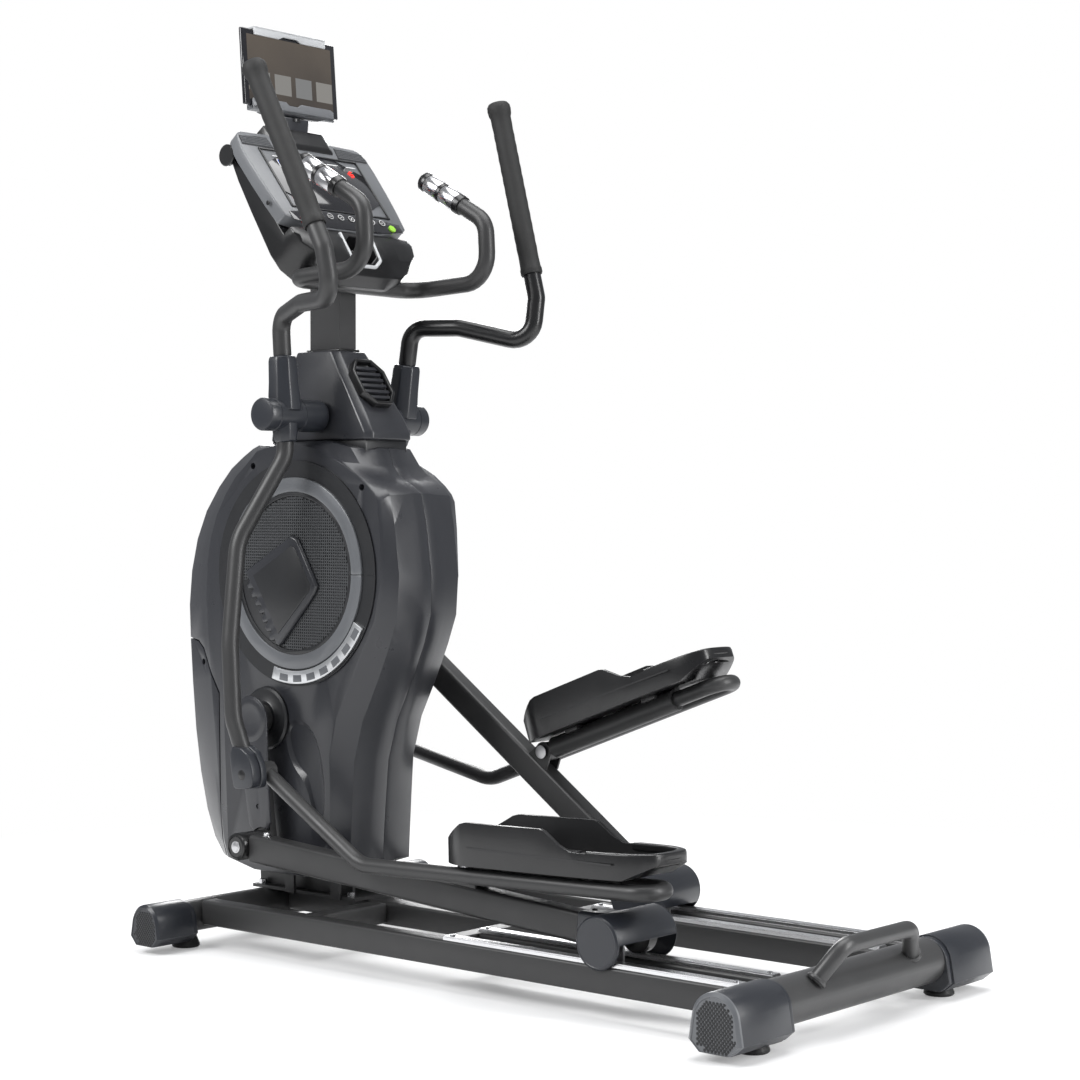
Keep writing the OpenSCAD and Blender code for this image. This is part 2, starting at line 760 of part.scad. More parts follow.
module pedal(s) {
    rear = pedal_x0 + pedal_length;
    half = pedal_width / 2;
    wall = 6;
    color(rubber) pedal_arm_frame(s) difference() {
        intersection() {
            plate_y(pedal_y - half, pedal_y + half) polygon(pedal_side(pedal_x0, rear));
            translate([0, pedal_y, 0]) linear_extrude(200)
                polygon(pedal_plan(pedal_x0, rear, half));
        }
        translate([0, pedal_y, deck_z]) linear_extrude(200)
            polygon(pedal_plan(pedal_x0 + wall, rear - wall, half - wall));
    }
}

module left_pedal() { pedal(left); }
module right_pedal() { pedal(right); }

// ---------- swing arms ----------

module swing_frame(s) {
    translate([pivot_x, 0, pivot_z]) rotate([0, swing_angle(s), 0]) on_side(s) children();
}

swing_drop = 662;
swing_end_x = -8;
grip_foot = [222, 292];
grip_head = [72, 628];
grip_dir = unit(grip_head - grip_foot);

function upper_path() = bent([
    [4, sleeve_y, 0], [4, sleeve_y, 182], [98, sleeve_y + 35, 196], [238, grip_y - 6, 184],
    [grip_foot[0] + 8, grip_y, grip_foot[1] - 18], [grip_head[0], grip_y, grip_head[1]]
], [34, 60, 40, 30]);

function lower_path() = bent([
    [2, sleeve_y, 0], [0, sleeve_y + 2, -78], [-55, swing_y - 40, -232],
    [-52, swing_y - 6, -420], [-46, swing_y, -560], [swing_end_x, swing_y, -swing_drop]
], [60, 120, 200, 90]);

module swing_arm(s) {
    color(steel_grey) swing_frame(s) difference() {
        union() {
            along_y(20, hub_y0 + 4, hub_y1 - 6);
            sweep(upper_path(), upper_tube_d / 2, start = [1, 0.1, 0]);
            sweep(lower_path(), lower_tube_d / 2, start = [1, 0.1, 0]);
            translate([swing_end_x, 0, -swing_drop])
                along_y(lower_tube_d / 2 + 2, link_boss_y1 + pass_gap, swing_y + lower_tube_d / 2);
        }
        along_y(pivot_axle_d / 2 + run_gap, 0, 300);
    }
}

module left_swing_arm() { swing_arm(left); }
module right_swing_arm() { swing_arm(right); }

// Foam sleeve with a mushroom end
module grip(s) {
    lean = atan2(grip_dir[0], grip_dir[1]);
    color(rubber) swing_frame(s) translate([grip_head[0], grip_y, grip_head[1]]) rotate([0, lean, 0])
        difference() {
            rotate_extrude() polygon([
                [0, 10], [14, 9], [22, 4], [23, -2], [22, -14], [grip_d / 2, -22],
                [grip_d / 2 - 1, -grip_length + 30], [grip_d / 2 + 1, -grip_length + 12],
                [grip_d / 2 + 1, -grip_length + 10], [0, -grip_length + 10]
            ]);
            translate([0, 0, -grip_length]) cylinder(r = upper_tube_d / 2 + seat_gap, h = grip_length + 0.5);
        }
}

module left_grip() { grip(left); }
module right_grip() { grip(right); }

// Pivot housing with its collar, and the cover of the lower joint
module swing_covers(s) {
    collar_r = 31;
    color(cap_grey) swing_frame(s) {
        difference() {
            union() {
                along_y(31, hub_y0, hub_y1);
                translate([4, sleeve_y, 12]) cylinder(r = collar_r, h = 98, $fn = 8);
            }
            along_y(20.4, hub_y0 + 3.6, hub_y1 - 5.6);
            along_y(pivot_axle_d / 2 + 1, 0, hub_y1 - 5);
            translate([4, sleeve_y, 0]) cylinder(r = upper_tube_d / 2 + seat_gap, h = 130);
            translate([2, sleeve_y, -60]) cylinder(r = lower_tube_d / 2 + 2, h = 60);
        }
        translate([swing_end_x, 0, -swing_drop]) difference() {
            plate_y(link_boss_y1 + pass_gap, swing_y + lower_tube_d / 2 + 5) polygon([
                [-26, -20], [-20, -26], [22, -26], [30, -16], [30, 14], [12, 50], [-34, 56]]);
            along_y(lower_tube_d / 2 + 2.4, link_boss_y1 + pass_gap - 1, swing_y + lower_tube_d / 2 + seat_gap);
            translate([0, swing_y, 0]) rotate([0, -20.4, 0])
                cylinder(r = lower_tube_d / 2 + 0.6, h = 90);
        }
    }
}

module left_swing_covers() { swing_covers(left); }
module right_swing_covers() { swing_covers(right); }

// ---------- mast and shroud ----------

mast_top = 1262;
module mast() {
    color(steel_grey) difference() {
        union() {
            difference() {
                translate([mast_x - mast_l / 2, -mast_w / 2, mast_z0 + 8 + seat_gap])
                    cube([mast_l, mast_w, mast_top - mast_z0 - 8]);
                translate([mast_x - mast_l / 2 + tube_wall, -mast_w / 2 + tube_wall, mast_z0])
                    cube([mast_l - 2 * tube_wall, mast_w - 2 * tube_wall, mast_top - mast_z0 - 6]);
            }
            translate([pivot_x, 0, pivot_z]) along_y(22, -54, 54);
        }
        translate([pivot_x, 0, pivot_z]) along_y(pivot_axle_d / 2 + 0.1, -100, 100);
    }
}

module pivot_axle() {
    color(bright) translate([pivot_x, 0, pivot_z])
        along_y(pivot_axle_d / 2, -hub_y1 + 6, hub_y1 - 6);
}

// Outline at the rear edge of each half, and outline of the flat side, from the front stabiliser
shroud_floor = 125;
edge_line = [
    [-105, 125], [250, 125], [256, 230], [270, 385], [352, 545], [385, 650], [358, 845],
    [330, 868], [284, 890], [262, 952], [0, 952], [-40, 940], [-113, 895], [-195, 795],
    [-shroud_reach, 660], [-shroud_reach + 5, 520], [-210, 333], [-165, 190]
];
side_line = [
    [-62, 125], [214, 125], [216, 235], [214, 400], [276, 513], [352, 650], [345, 828],
    [330, 856], [276, 896], [140, 951], [21, 938], [-2, 918], [-60, 872], [-112, 790],
    [-132, 690], [-122, 540], [-100, 350], [-84, 190]
];

module shroud_body(d) {
    ys = [d > 0 ? -1 : 0.15, shroud_edge_w - d / 2, 84 - d, shroud_half_w - d];
    loft([inset(edge_line, d), inset(edge_line, d + 4), inset(mix(edge_line, side_line, 0.28), d),
        inset(side_line, d)], ys);
}

module shroud(s) {
    color(shell_grey) on_side(s) translate([front_x, 0, 0]) difference() {
        shroud_body(0);
        shroud_body(shell_t);
        // way in for the frame below and for the mast above
        translate([-45, -1, shroud_floor - 20]) cube([310, flange_w / 2 + 6, 30]);
        translate([14, -1, 930]) cube([228, 60, 40]);
        translate([crank_back, 0, crank_z]) along_y(31, 60, 150);
    }
}

module left_shroud() { shroud(left); }
module right_shroud() { shroud(right); }

mast_cover_z0 = 952.3;
mast_cover_z1 = 1124;
// Tapered cowl round the mast; its rear slope carries the tray
module cowl(d) {
    w0 = 62 - d;
    w1 = 46 - d;
    z1 = mast_cover_z1 + (d > 0 ? 1 : 0);
    z0 = mast_cover_z0 - (d > 0 ? 1 : 0);
    polyhedron([
        [0 + d, -w0, z0], [276 - d, -w0, z0], [276 - d, w0, z0], [0 + d, w0, z0],
        [12 + d, -w0, 1010], [262 - d, -w0, 988], [262 - d, w0, 988], [12 + d, w0, 1010],
        [56 + d, -w1, z1], [170 - d, -w1, z1], [170 - d, w1, z1], [56 + d, w1, z1]
    ], [
        [0, 1, 2, 3], [0, 4, 5, 1], [1, 5, 6, 2], [2, 6, 7, 3], [3, 7, 4, 0],
        [4, 8, 9, 5], [5, 9, 10, 6], [6, 10, 11, 7], [7, 11, 8, 4], [11, 10, 9, 8]
    ]);
}

module mast_cover() {
    color(shell_grey) difference() {
        translate([front_x, 0, 0]) cowl(0);
        translate([front_x, 0, 0]) cowl(shell_t);
        translate([mast_x - mast_l / 2 - 1, -mast_w / 2 - 1, 1000])
            cube([mast_l + 2, mast_w + 2, 200]);
        translate([pivot_x, 0, pivot_z]) along_y(pivot_axle_d / 2 + 2, -100, 100);
    }
}

// Tray on the cowl's rear slope, built flat and tilted into place
tray_w = 84;
tray_l = 104;
tray_h = 16;
tray_from = [262, 988];
tray_to = [170, 1124];
tray_slope = atan2(tray_to[1] - tray_from[1], tray_from[0] - tray_to[0]);
module accessory_tray() {
    mid = (tray_from + tray_to) / 2;
    color([0.14, 0.14, 0.15]) translate([front_x + mid[0], 0, mid[1]]) rotate([0, tray_slope, 0])
        translate([0, 0, seat_gap]) difference() {
            translate([-tray_l / 2, -tray_w / 2, 0]) cube([tray_l, tray_w, tray_h]);
            translate([-tray_l / 2 + 6, -tray_w / 2 + 6, 4])
                cube([tray_l - 12, tray_w - 12, tray_h]);
        }
}

disc_x = 124;
disc_z = 700;
grille_r = 158;
ring_t = 8;
grille_t = 4;
// Round side covers: a ring, a grille disc and a raised tilted plate on it
module disc_covers() {
    y0 = shroud_half_w + seat_gap;
    color(cap_grey) both_sides() translate([front_x + disc_x, 0, disc_z]) {
        difference() {
            along_y(disc_r, y0, y0 + ring_t);
            along_y(grille_r, y0 + grille_t, y0 + ring_t + 1);
        }
        rotate([0, -28, 0]) translate([-60, y0 + grille_t - eps, -62]) cube([104, 8, 124]);
    }
}

// ---------- console ----------

console_x = front_x + 20;
console_z = 1545;
module console_frame() {
    translate([console_x, 0, console_z]) rotate([0, console_tilt, 0]) children();
}

face_t = 28;
belly_l = 345;
key_x = 226;
key_y = 118;
key_travel = 1.2;
strip_t = 1.6;
key_proud = 2.6;
half_c = console_w / 2;

module face_plan() {
    polygon([[0, -half_c + 28], [10, -half_c + 10], [34, -half_c], [150, -half_c + 4],
        [console_l, -half_c + 16], [console_l, half_c - 16], [150, half_c - 4],
        [34, half_c], [10, half_c - 10], [0, half_c - 28]]);
}

module console_front() {
    color([0.5, 0.51, 0.53]) console_frame() difference() {
        union() {
            translate([0, 0, -face_t]) linear_extrude(face_t) face_plan();
            translate([-23, -82, -face_t]) cube([50, 164, face_t + 8]);
        }
        for (s = [left, right]) translate([key_x, s * key_y, -8]) cylinder(d = key_d + 1, h = 20);
    }
}

module console_back() {
    slot_z = face_t + seat_gap;
    color(shell_grey) difference() {
        console_frame() difference() {
            intersection() {
                plate_y(-half_c, half_c) polygon([
                    [16, -slot_z], [20, -50], [150, -78], [250, -92], [310, -90], [338, -74],
                    [belly_l, -48], [336, -22], [306, -4], [268, 1], [console_l + seat_gap, -2],
                    [console_l + seat_gap, -slot_z]]);
                translate([0, 0, -120]) linear_extrude(140) polygon([
                    [10, -half_c + 22], [console_l, -half_c + 16], [300, -half_c + 36],
                    [332, -half_c + 62], [belly_l + 1, -half_c + 92], [belly_l + 1, half_c - 92],
                    [332, half_c - 62], [300, half_c - 36], [console_l, half_c - 16], [10, half_c - 22]]);
            }
            // pocket for a phone in the belly
            translate([256, -38, -34]) cube([62, 76, 60]);
        }
        translate([mast_x - mast_l / 2 - 1, -mast_w / 2 - 1, mast_top - 200])
            cube([mast_l + 2, mast_w + 2, 200.5]);
        translate([bar_x, 0, bar_z]) along_y(pulse_tube_d / 2 + 1, -200, 200);
    }
}

module display_window() {
    color([0.03, 0.03, 0.04]) console_frame() translate([46, -display_w / 2, seat_gap])
        cube([150, display_w, 2]);
}

module keypad() {
    color([0.05, 0.05, 0.05]) console_frame() difference() {
        translate([201, -148, seat_gap]) cube([42, 296, strip_t]);
        for (s = [left, right]) translate([key_x, s * key_y, -1]) cylinder(d = key_d + 1, h = 20);
    }
}

module large_key(s) {
    console_frame() translate([key_x, s * key_y, -5]) cylinder(d = key_d, h = 5 + seat_gap + strip_t + key_proud);
}

module start_button() { color([0.45, 0.75, 0.1]) large_key(right); }
module stop_button() { color([0.7, 0.1, 0.08]) large_key(left); }

bar_x = mast_x + mast_l / 2 + pulse_tube_d / 2 + 0.2;
bar_z = 1250;
pulse_foot = [front_x + 366, 1372];
pulse_head = [front_x + 210, 1462];
pulse_dir = unit(pulse_head - pulse_foot);

module pulse_bar() {
    half = [
        [bar_x, pulse_y, bar_z], [front_x + 372, pulse_y, bar_z + 8],
        [pulse_foot[0], pulse_y, pulse_foot[1]], [pulse_head[0], pulse_y, pulse_head[1]]
    ];
    other = [for (i = [3:-1:0]) [half[i][0], -half[i][1], half[i][2]]];
    color(steel_grey) sweep(bent(concat(other, half), [45, 55, 44, 44, 55, 45]), pulse_tube_d / 2,
        start = [0.2, 1, 0.1]);
}

// Puts children on the pulse grip's axis, z towards its end, origin at the tube's end
module pulse_end(s) {
    translate([pulse_head[0], s * pulse_y, pulse_head[1]])
        rotate([0, atan2(pulse_dir[0], pulse_dir[1]), 0]) children();
}

module sleeve(r, z0, z1) {
    difference() {
        translate([0, 0, z0]) cylinder(r = r, h = z1 - z0);
        translate([0, 0, z0 - 1]) cylinder(r = pulse_tube_d / 2 + 0.2, h = min(z1, 0.5) - z0 + 1);
    }
}

module pulse_grips() {
    color(rubber) for (s = [left, right]) pulse_end(s) {
        sleeve(20, -10, 6);
        sleeve(20, -56, -48);
        sleeve(20, -112, -98);
    }
}

module pulse_sensors() {
    color(bright) for (s = [left, right]) pulse_end(s) {
        sleeve(19.4, -47.8, -10.2);
        sleeve(19.4, -97.8, -56.2);
    }
}

// ---------- tablet holder ----------

tablet_x = front_x + 6;
tablet_z = 1600;
module tablet_frame() {
    translate([tablet_x, 0, tablet_z]) rotate([0, -tablet_lean, 0]) children();
}

holder_w = 216;
holder_gap = 0.3;

module tablet_holder() {
    back_x = -tablet_t - holder_gap - 6;
    color([0.33, 0.34, 0.36]) tablet_frame() union() {
        translate([back_x, -holder_w / 2, 0]) cube([6, holder_w, tablet_h - 6]);
        translate([back_x, -holder_w / 2, -8]) cube([-back_x + holder_gap + 5, holder_w, 8]);
        translate([holder_gap, -holder_w / 2, -8]) cube([5, holder_w, 24]);
        translate([back_x - 6, -80, -12]) cube([30, 160, 6]);
    }
}

module tablet() {
    color([0.05, 0.05, 0.06]) tablet_frame()
        translate([-tablet_t, -tablet_w / 2, holder_gap]) cube([tablet_t, tablet_w, tablet_h]);
}

module tablet_clip() {
    top = tablet_h + holder_gap;
    color([0.55, 0.56, 0.58]) tablet_frame() union() {
        translate([-tablet_t - 12, -95, top + holder_gap]) cube([tablet_t + 17, 190, 5]);
        translate([holder_gap, -95, top - 12]) cube([5 - holder_gap, 190, 12 + holder_gap + eps]);
        translate([-tablet_t - 12, -40, top - 60]) cube([4, 80, 60 + holder_gap + eps]);
    }
}

// Curved bracket from the console's head up to the holder
module tablet_neck() {
    base = console_z - 10;
    color([0.3, 0.31, 0.33]) difference() {
        translate([tablet_x, 0, 0]) plate_y(-34, 34) polygon([
            [-34, base - 28], [-4, base - 18], [8, tablet_z - 44], [12, tablet_z - 13.4],
            [-14, tablet_z - 13.4], [-26, tablet_z - 50]]);
        console_frame() translate([-24, -84, -face_t - 0.3]) cube([60, 168, face_t + 8.6]);
    }
}

// ---------- parts ----------

front_stabiliser();
rear_stabiliser();
front_end_caps();
rear_end_caps();
levelling_feet();
side_beams();
inner_frame();
centre_beam();
track_rails();
carry_handle();
drive_frame();
crank_bearings();
brake_coil();
control_board();
drive_belt();
mast();
pivot_axle();
left_shroud();
right_shroud();
mast_cover();
accessory_tray();
disc_covers();
frame_screws();
console_back();
console_front();
display_window();
keypad();
pulse_bar();
pulse_grips();
pulse_sensors();
tablet_neck();
tablet_holder();
tablet();
tablet_clip();
start_button();
stop_button();
crank_axle();
crank_pulley();
left_crank_arm();
right_crank_arm();
crank_covers();
flywheel();
left_carriage_axle();
left_rollers();
left_roller_arm();
left_roller_cover();
left_pedal_frame();
left_pedal();
left_swing_arm();
left_grip();
left_swing_covers();
right_carriage_axle();
right_rollers();
right_roller_arm();
right_roller_cover();
right_pedal_frame();
right_pedal();
right_swing_arm();
right_grip();
right_swing_covers();
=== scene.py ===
# %% [markdown]
# # An elliptical trainer, dressed
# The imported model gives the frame: its bodies, joints and sizes. This lesson builds the visible pieces
# around it, one at a time, and lets each piece ride on the body that carries it.
# Lengths are metres. +X is the rear, where the user steps on, +Y the user's right, +Z up.

# %% Start
import math
import bpy
from mathutils import Matrix, Vector


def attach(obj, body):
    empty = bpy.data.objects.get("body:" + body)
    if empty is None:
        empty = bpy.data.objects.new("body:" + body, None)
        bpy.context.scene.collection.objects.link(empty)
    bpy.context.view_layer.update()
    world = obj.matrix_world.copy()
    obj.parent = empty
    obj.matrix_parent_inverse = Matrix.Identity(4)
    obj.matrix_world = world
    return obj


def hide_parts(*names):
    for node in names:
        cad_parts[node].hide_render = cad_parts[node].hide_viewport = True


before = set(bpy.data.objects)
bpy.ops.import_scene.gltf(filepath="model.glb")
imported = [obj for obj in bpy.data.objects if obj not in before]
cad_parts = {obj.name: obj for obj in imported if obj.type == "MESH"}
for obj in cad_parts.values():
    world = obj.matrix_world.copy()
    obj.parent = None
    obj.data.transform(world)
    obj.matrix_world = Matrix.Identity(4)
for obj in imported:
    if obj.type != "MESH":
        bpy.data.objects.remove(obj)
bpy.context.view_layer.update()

# %% [markdown]
# ## Measures
# The stations repeat the driving sizes of the model: the front stabiliser, the cranks' lean,
# the two roller arms, the pedals and the swing arms at rest. `s` is -1 on the left and 1 on the right.

# %% Measures
FRONT = -0.5655
REAR = FRONT + 1.3
CRANK = (FRONT + 0.045, 0.420)
CRANK_R = 0.235
PIVOT = (FRONT + 0.145, 0.998)
AXLE_Z = 0.125
ARM = 0.9148
LEAN = 7.9


def pin(s):
    a = math.radians(LEAN)
    return CRANK[0] - s * CRANK_R * math.sin(a), CRANK[1] + s * CRANK_R * math.cos(a)


def pitch(s):
    return math.asin((pin(s)[1] - AXLE_Z) / ARM)


def at(x, z, degrees, s=1):
    """The place of a part that leans by that many degrees about Y, mirrored for the left side."""
    turn = Matrix.Rotation(math.radians(degrees), 4, "Y")
    return Matrix.Translation((x, 0, z)) @ turn @ Matrix.Diagonal((1, s, 1, 1))


def arm_place(s):
    return at(pin(s)[0] + ARM * math.cos(pitch(s)), AXLE_Z, math.degrees(pitch(s)), s)


def pedal_place(s):
    hub = arm_place(s) @ Vector((-0.345, 0, 0.050))
    return at(hub.x, hub.z, -1.5 if s < 0 else -20.3, s)


def swing_place(s):
    return at(*PIVOT, -3.9 if s < 0 else 9.5, s)


def crank_place(s):
    return at(*CRANK, -LEAN if s < 0 else 180 - LEAN, s)


SIDES = ((-1, "left"), (1, "right"))
STILL = at(0, 0, 0)
LAID = Matrix(((1, 0, 0, 0), (0, 0, 1, 0), (0, 1, 0, 0), (0, 0, 0, 1)))

# %% [markdown]
# ## Shader maths
# `Tree` wraps one material. Its values take the usual operators, so a pattern reads like a formula.

# %% Shader maths


class Value:
    def __init__(self, tree, socket):
        self.tree, self.socket = tree, socket

    def op(self, kind, other=0.0, third=0.0):
        return self.tree.math(kind, self, other, third)

    def __add__(self, other):
        return self.op("ADD", other)

    def __sub__(self, other):
        return self.op("SUBTRACT", other)

    def __mul__(self, other):
        return self.op("MULTIPLY", other)

    def __truediv__(self, other):
        return self.op("DIVIDE", other)

    def __gt__(self, other):
        return self.op("GREATER_THAN", other)

    def __lt__(self, other):
        return self.op("LESS_THAN", other)

    __radd__ = __add__
    __rmul__ = __mul__


class Tree:
    def __init__(self, name):
        self.material = bpy.data.materials.new(name)
        self.material.use_nodes = True
        self.nodes = self.material.node_tree.nodes
        self.links = self.material.node_tree.links
        self.shader = self.nodes["Principled BSDF"]

    def plug(self, socket, value):
        if isinstance(value, Value):
            self.links.new(value.socket, socket)
        else:
            socket.default_value = value

    def node(self, kind, out, inputs=(), **settings):
        n = self.nodes.new(kind)
        for key, value in settings.items():
            setattr(n, key, value)
        for key, value in dict(inputs).items():
            self.plug(n.inputs[key], value)
        return Value(self, n.outputs[out])

    def math(self, kind, *args):
        return self.node("ShaderNodeMath", 0, list(enumerate(args)), operation=kind)

    def coords(self):
        return self.node("ShaderNodeTexCoord", "Object")

    def axis(self, name):
        return self.node("ShaderNodeSeparateXYZ", name, {0: self.coords()})

    def noise(self, scale, detail=3.0, stretch=(1, 1, 1)):
        where = self.node("ShaderNodeVectorMath", 0, {0: self.coords(), 1: stretch}, operation="MULTIPLY")
        return self.node("ShaderNodeTexNoise", 0, {"Vector": where, "Scale": scale, "Detail": detail})

    def cells(self, scale):
        return self.node("ShaderNodeTexVoronoi", 0, {"Vector": self.coords(), "Scale": scale})

    def mix(self, share, a, b):
        return self.node("ShaderNodeMix", 2, {0: share, 6: (*a, 1), 7: (*b, 1)}, data_type="RGBA")

    def set(self, **inputs):
        for key, value in inputs.items():
            self.plug(self.shader.inputs[key.replace("_", " ")], value)
        return self

    def bump(self, height, strength, distance):
        self.set(Normal=self.node("ShaderNodeBump", 0,
                {"Height": height, "Strength": strength, "Distance": distance}))
        return self


def shade(colour, k):
    return tuple(c * k for c in colour)


def painted(name, colour, rough=0.42):
    """Powder-coated steel: orange peel, and a roughness that wanders."""
    t = Tree(name)
    t.set(Base_Color=t.mix(t.noise(9), shade(colour, 0.86), shade(colour, 1.12)), Metallic=0.15)
    t.set(Roughness=t.noise(26, 4) * 0.16 + (rough - 0.08))
    t.bump(t.noise(900, 2), 0.12, 0.0004)
    return t.material


def moulded(name, colour, rough=0.4, grain=700, depth=0.16):
    """Moulded plastic: spark-eroded grain and faint handling marks."""
    t = Tree(name)
    t.set(Base_Color=t.mix(t.noise(6), shade(colour, 0.88), shade(colour, 1.10)))
    t.set(Roughness=t.noise(18, 5) * 0.14 + (rough - 0.07))
    t.set(Specular_IOR_Level=0.5, Coat_Weight=t.noise(4) * 0.12)
    t.bump(t.cells(grain), depth, 0.0003)
    return t.material


def foam(name, colour):
    t = Tree(name)
    t.set(Base_Color=t.mix(t.noise(300), shade(colour, 0.6), shade(colour, 1.5)),
            Roughness=t.noise(60) * 0.1 + 0.62)
    t.bump(t.cells(650) + t.noise(1400), 0.35, 0.0006)
    return t.material


def metal(name, colour, rough, stretch=(1, 60, 60)):
    """Ground or turned steel, its lines drawn out along one axis."""
    t = Tree(name)
    lines = t.noise(40, 3, stretch)
    t.set(Base_Color=t.mix(lines, shade(colour, 0.85), shade(colour, 1.05)), Metallic=1.0)
    t.set(Roughness=lines * 0.14 + (rough - 0.05))
    t.bump(lines, 0.05, 0.0002)
    return t.material


def glossy(name, colour, rough=0.08):
    t = Tree(name)
    t.set(Base_Color=t.mix(t.noise(30), shade(colour, 0.9), shade(colour, 1.1)),
            Roughness=t.noise(50) * 0.04 + rough)
    t.set(Coat_Weight=0.6)
    return t.material


def glowing(name, colour, strength):
    t = Tree(name)
    t.set(Base_Color=t.mix(t.noise(200), shade(colour, 0.3), shade(colour, 0.5)), Roughness=0.3)
    t.set(Emission_Color=t.mix(t.noise(400), shade(colour, 0.8), colour), Emission_Strength=strength)
    return t.material


FRAME_PAINT = painted("frame paint", (0.030, 0.030, 0.0305))
REAR_PAINT = painted("rear paint", (0.044, 0.044, 0.0445), 0.36)
SHELL = moulded("shell plastic", (0.021, 0.022, 0.026), 0.30)
SHELL_DARK = moulded("dark shell plastic", (0.006, 0.0065, 0.008), 0.42)
BADGE = moulded("badge plastic", (0.020, 0.021, 0.025), 0.30)
RIM = moulded("rim plastic", (0.105, 0.110, 0.118), 0.30)
WEAVE = moulded("woven plastic", (0.050, 0.052, 0.055), 0.36)
CAP = moulded("cap plastic", (0.016, 0.018, 0.023), 0.34)
BLACK = moulded("black plastic", (0.0045, 0.0045, 0.005), 0.30)
TREAD = moulded("tread plastic", (0.009, 0.009, 0.010), 0.46, 420, 0.3)
GREY = moulded("grey plastic", (0.125, 0.130, 0.138), 0.32)
PALE = moulded("pale plastic", (0.42, 0.43, 0.44), 0.36)
FOAM = foam("foam", (0.006, 0.006, 0.006))
RUBBER = moulded("rubber", (0.010, 0.010, 0.010), 0.6, 300, 0.3)
CHROME = metal("chrome", (0.60, 0.60, 0.61), 0.20)
RAIL = metal("rail steel", (0.70, 0.70, 0.71), 0.26, (1, 90, 90))
TURNED = metal("turned steel", (0.55, 0.55, 0.56), 0.3, (60, 1, 60))
SILVER = metal("silver paint", (0.62, 0.63, 0.64), 0.34, (8, 8, 8))
GLASS = glossy("window", (0.006, 0.006, 0.008))
RED_GLOW = glowing("red digits", (1.0, 0.03, 0.02), 3.0)
BLUE_GLOW = glowing("blue field", (0.05, 0.16, 0.75), 0.6)
WHITE_PRINT = moulded("white print", (0.75, 0.75, 0.75), 0.5, 900, 0.05)
GREEN_KEY = glossy("green key", (0.30, 0.62, 0.04), 0.3)
RED_KEY = glossy("red key", (0.45, 0.03, 0.02), 0.3)
BOARD = moulded("board", (0.03, 0.16, 0.07), 0.4)
COPPER = metal("copper", (0.75, 0.38, 0.2), 0.35, (1, 1, 80))
IRON = metal("iron", (0.28, 0.28, 0.29), 0.45, (60, 1, 60))

# %% [markdown]
# ## Ways of shaping
# `loft` adds a filled circle, moves it onto the first outline, then extrudes it from outline to
# outline. Bars, plates, bent tubes and shells all come from it, and modifiers round them off.

# %% Ways of shaping


def only(o):
    bpy.ops.object.select_all(action="DESELECT")
    o.select_set(True)
    bpy.context.view_layer.objects.active = o


def use(o, kind, **settings):
    only(o)
    m = o.modifiers.new(kind, kind)
    for key, value in settings.items():
        setattr(m, key, value)
    bpy.ops.object.modifier_apply(modifier=m.name)
    return o


def put(o, first, ring):
    for i, p in enumerate(ring):
        o.data.vertices[first + i].co = p


def loft(name, rings):
    n = len(rings[0])
    bpy.ops.object.select_all(action="DESELECT")
    bpy.ops.mesh.primitive_circle_add(vertices=n, radius=1, fill_type="NGON")
    o = bpy.context.object
    o.name = o.data.name = name
    put(o, 0, rings[0])
    bpy.ops.object.mode_set(mode="EDIT")
    bpy.ops.mesh.select_all(action="SELECT")
    bpy.ops.mesh.duplicate()
    bpy.ops.object.mode_set(mode="OBJECT")
    for ring in rings[1:]:
        bpy.ops.object.mode_set(mode="EDIT")
        bpy.ops.mesh.extrude_region_move()
        bpy.ops.object.mode_set(mode="OBJECT")
        put(o, len(o.data.vertices) - n, ring)
    bpy.ops.object.mode_set(mode="EDIT")
    bpy.ops.mesh.select_all(action="SELECT")
    bpy.ops.mesh.remove_doubles(threshold=1e-6)
    bpy.ops.mesh.normals_make_consistent(inside=False)
    bpy.ops.object.mode_set(mode="OBJECT")
    return o


def rounded(o, width, segments=3, angle=25):
    return use(o, "BEVEL", width=width, segments=segments, limit_method="ANGLE",
            angle_limit=math.radians(angle))


def plate(name, outline, y0, y1, edge=0.0, segments=3):
    """A plate in the X-Z plane between two values of y."""
    o = loft(name, [[(x, y, z) for x, z in outline] for y in (y0, y1)])
    return rounded(o, edge, segments) if edge else o


def slab(name, outline, z0, z1, edge=0.0, segments=3):
    """A plate in the X-Y plane between two heights."""
    o = loft(name, [[(x, y, z) for x, y in outline] for z in (z0, z1)])
    return rounded(o, edge, segments) if edge else o


def block(name, low, high, edge=0.0, segments=3):
    (x0, y0, z0), (x1, y1, z1) = low, high
    return slab(name, [(x0, y0), (x1, y0), (x1, y1), (x0, y1)], z0, z1, edge, segments)


def arc(cx, cy, r, a0, a1, n=16):
    return [(cx + r * math.cos(math.radians(a0 + (a1 - a0) * i / n)),
            cy + r * math.sin(math.radians(a0 + (a1 - a0) * i / n))) for i in range(n + 1)]


def disc(name, cx, cz, r, y0, y1, edge=0.0, n=64, segments=3):
    return plate(name, arc(cx, cz, r, 0, 360 - 360 / n, n - 1), y0, y1, edge, segments)


def band(name, cx, cz, r0, r1, a0, a1, y0, y1, edge=0.0, n=48):
    """Part of a ring, from angle a0 to a1."""
    return plate(name, arc(cx, cz, r1, a0, a1, n) + arc(cx, cz, r0, a1, a0, n), y0, y1, edge, 2)


def turned(name, profile, x=0, z=0, last=355, n=71):
    """Stacked circles along y: profile is (radius, y) from one end to the other."""
    return loft(name, [[(a, y, b) for a, b in arc(x, z, r, 0, last, n)] for r, y in profile])


def layers(name, stack):
    """Outlines in the X-Z plane, each at its own y."""
    return loft(name, [[(x, y, z) for x, z in line] for line, y in stack])


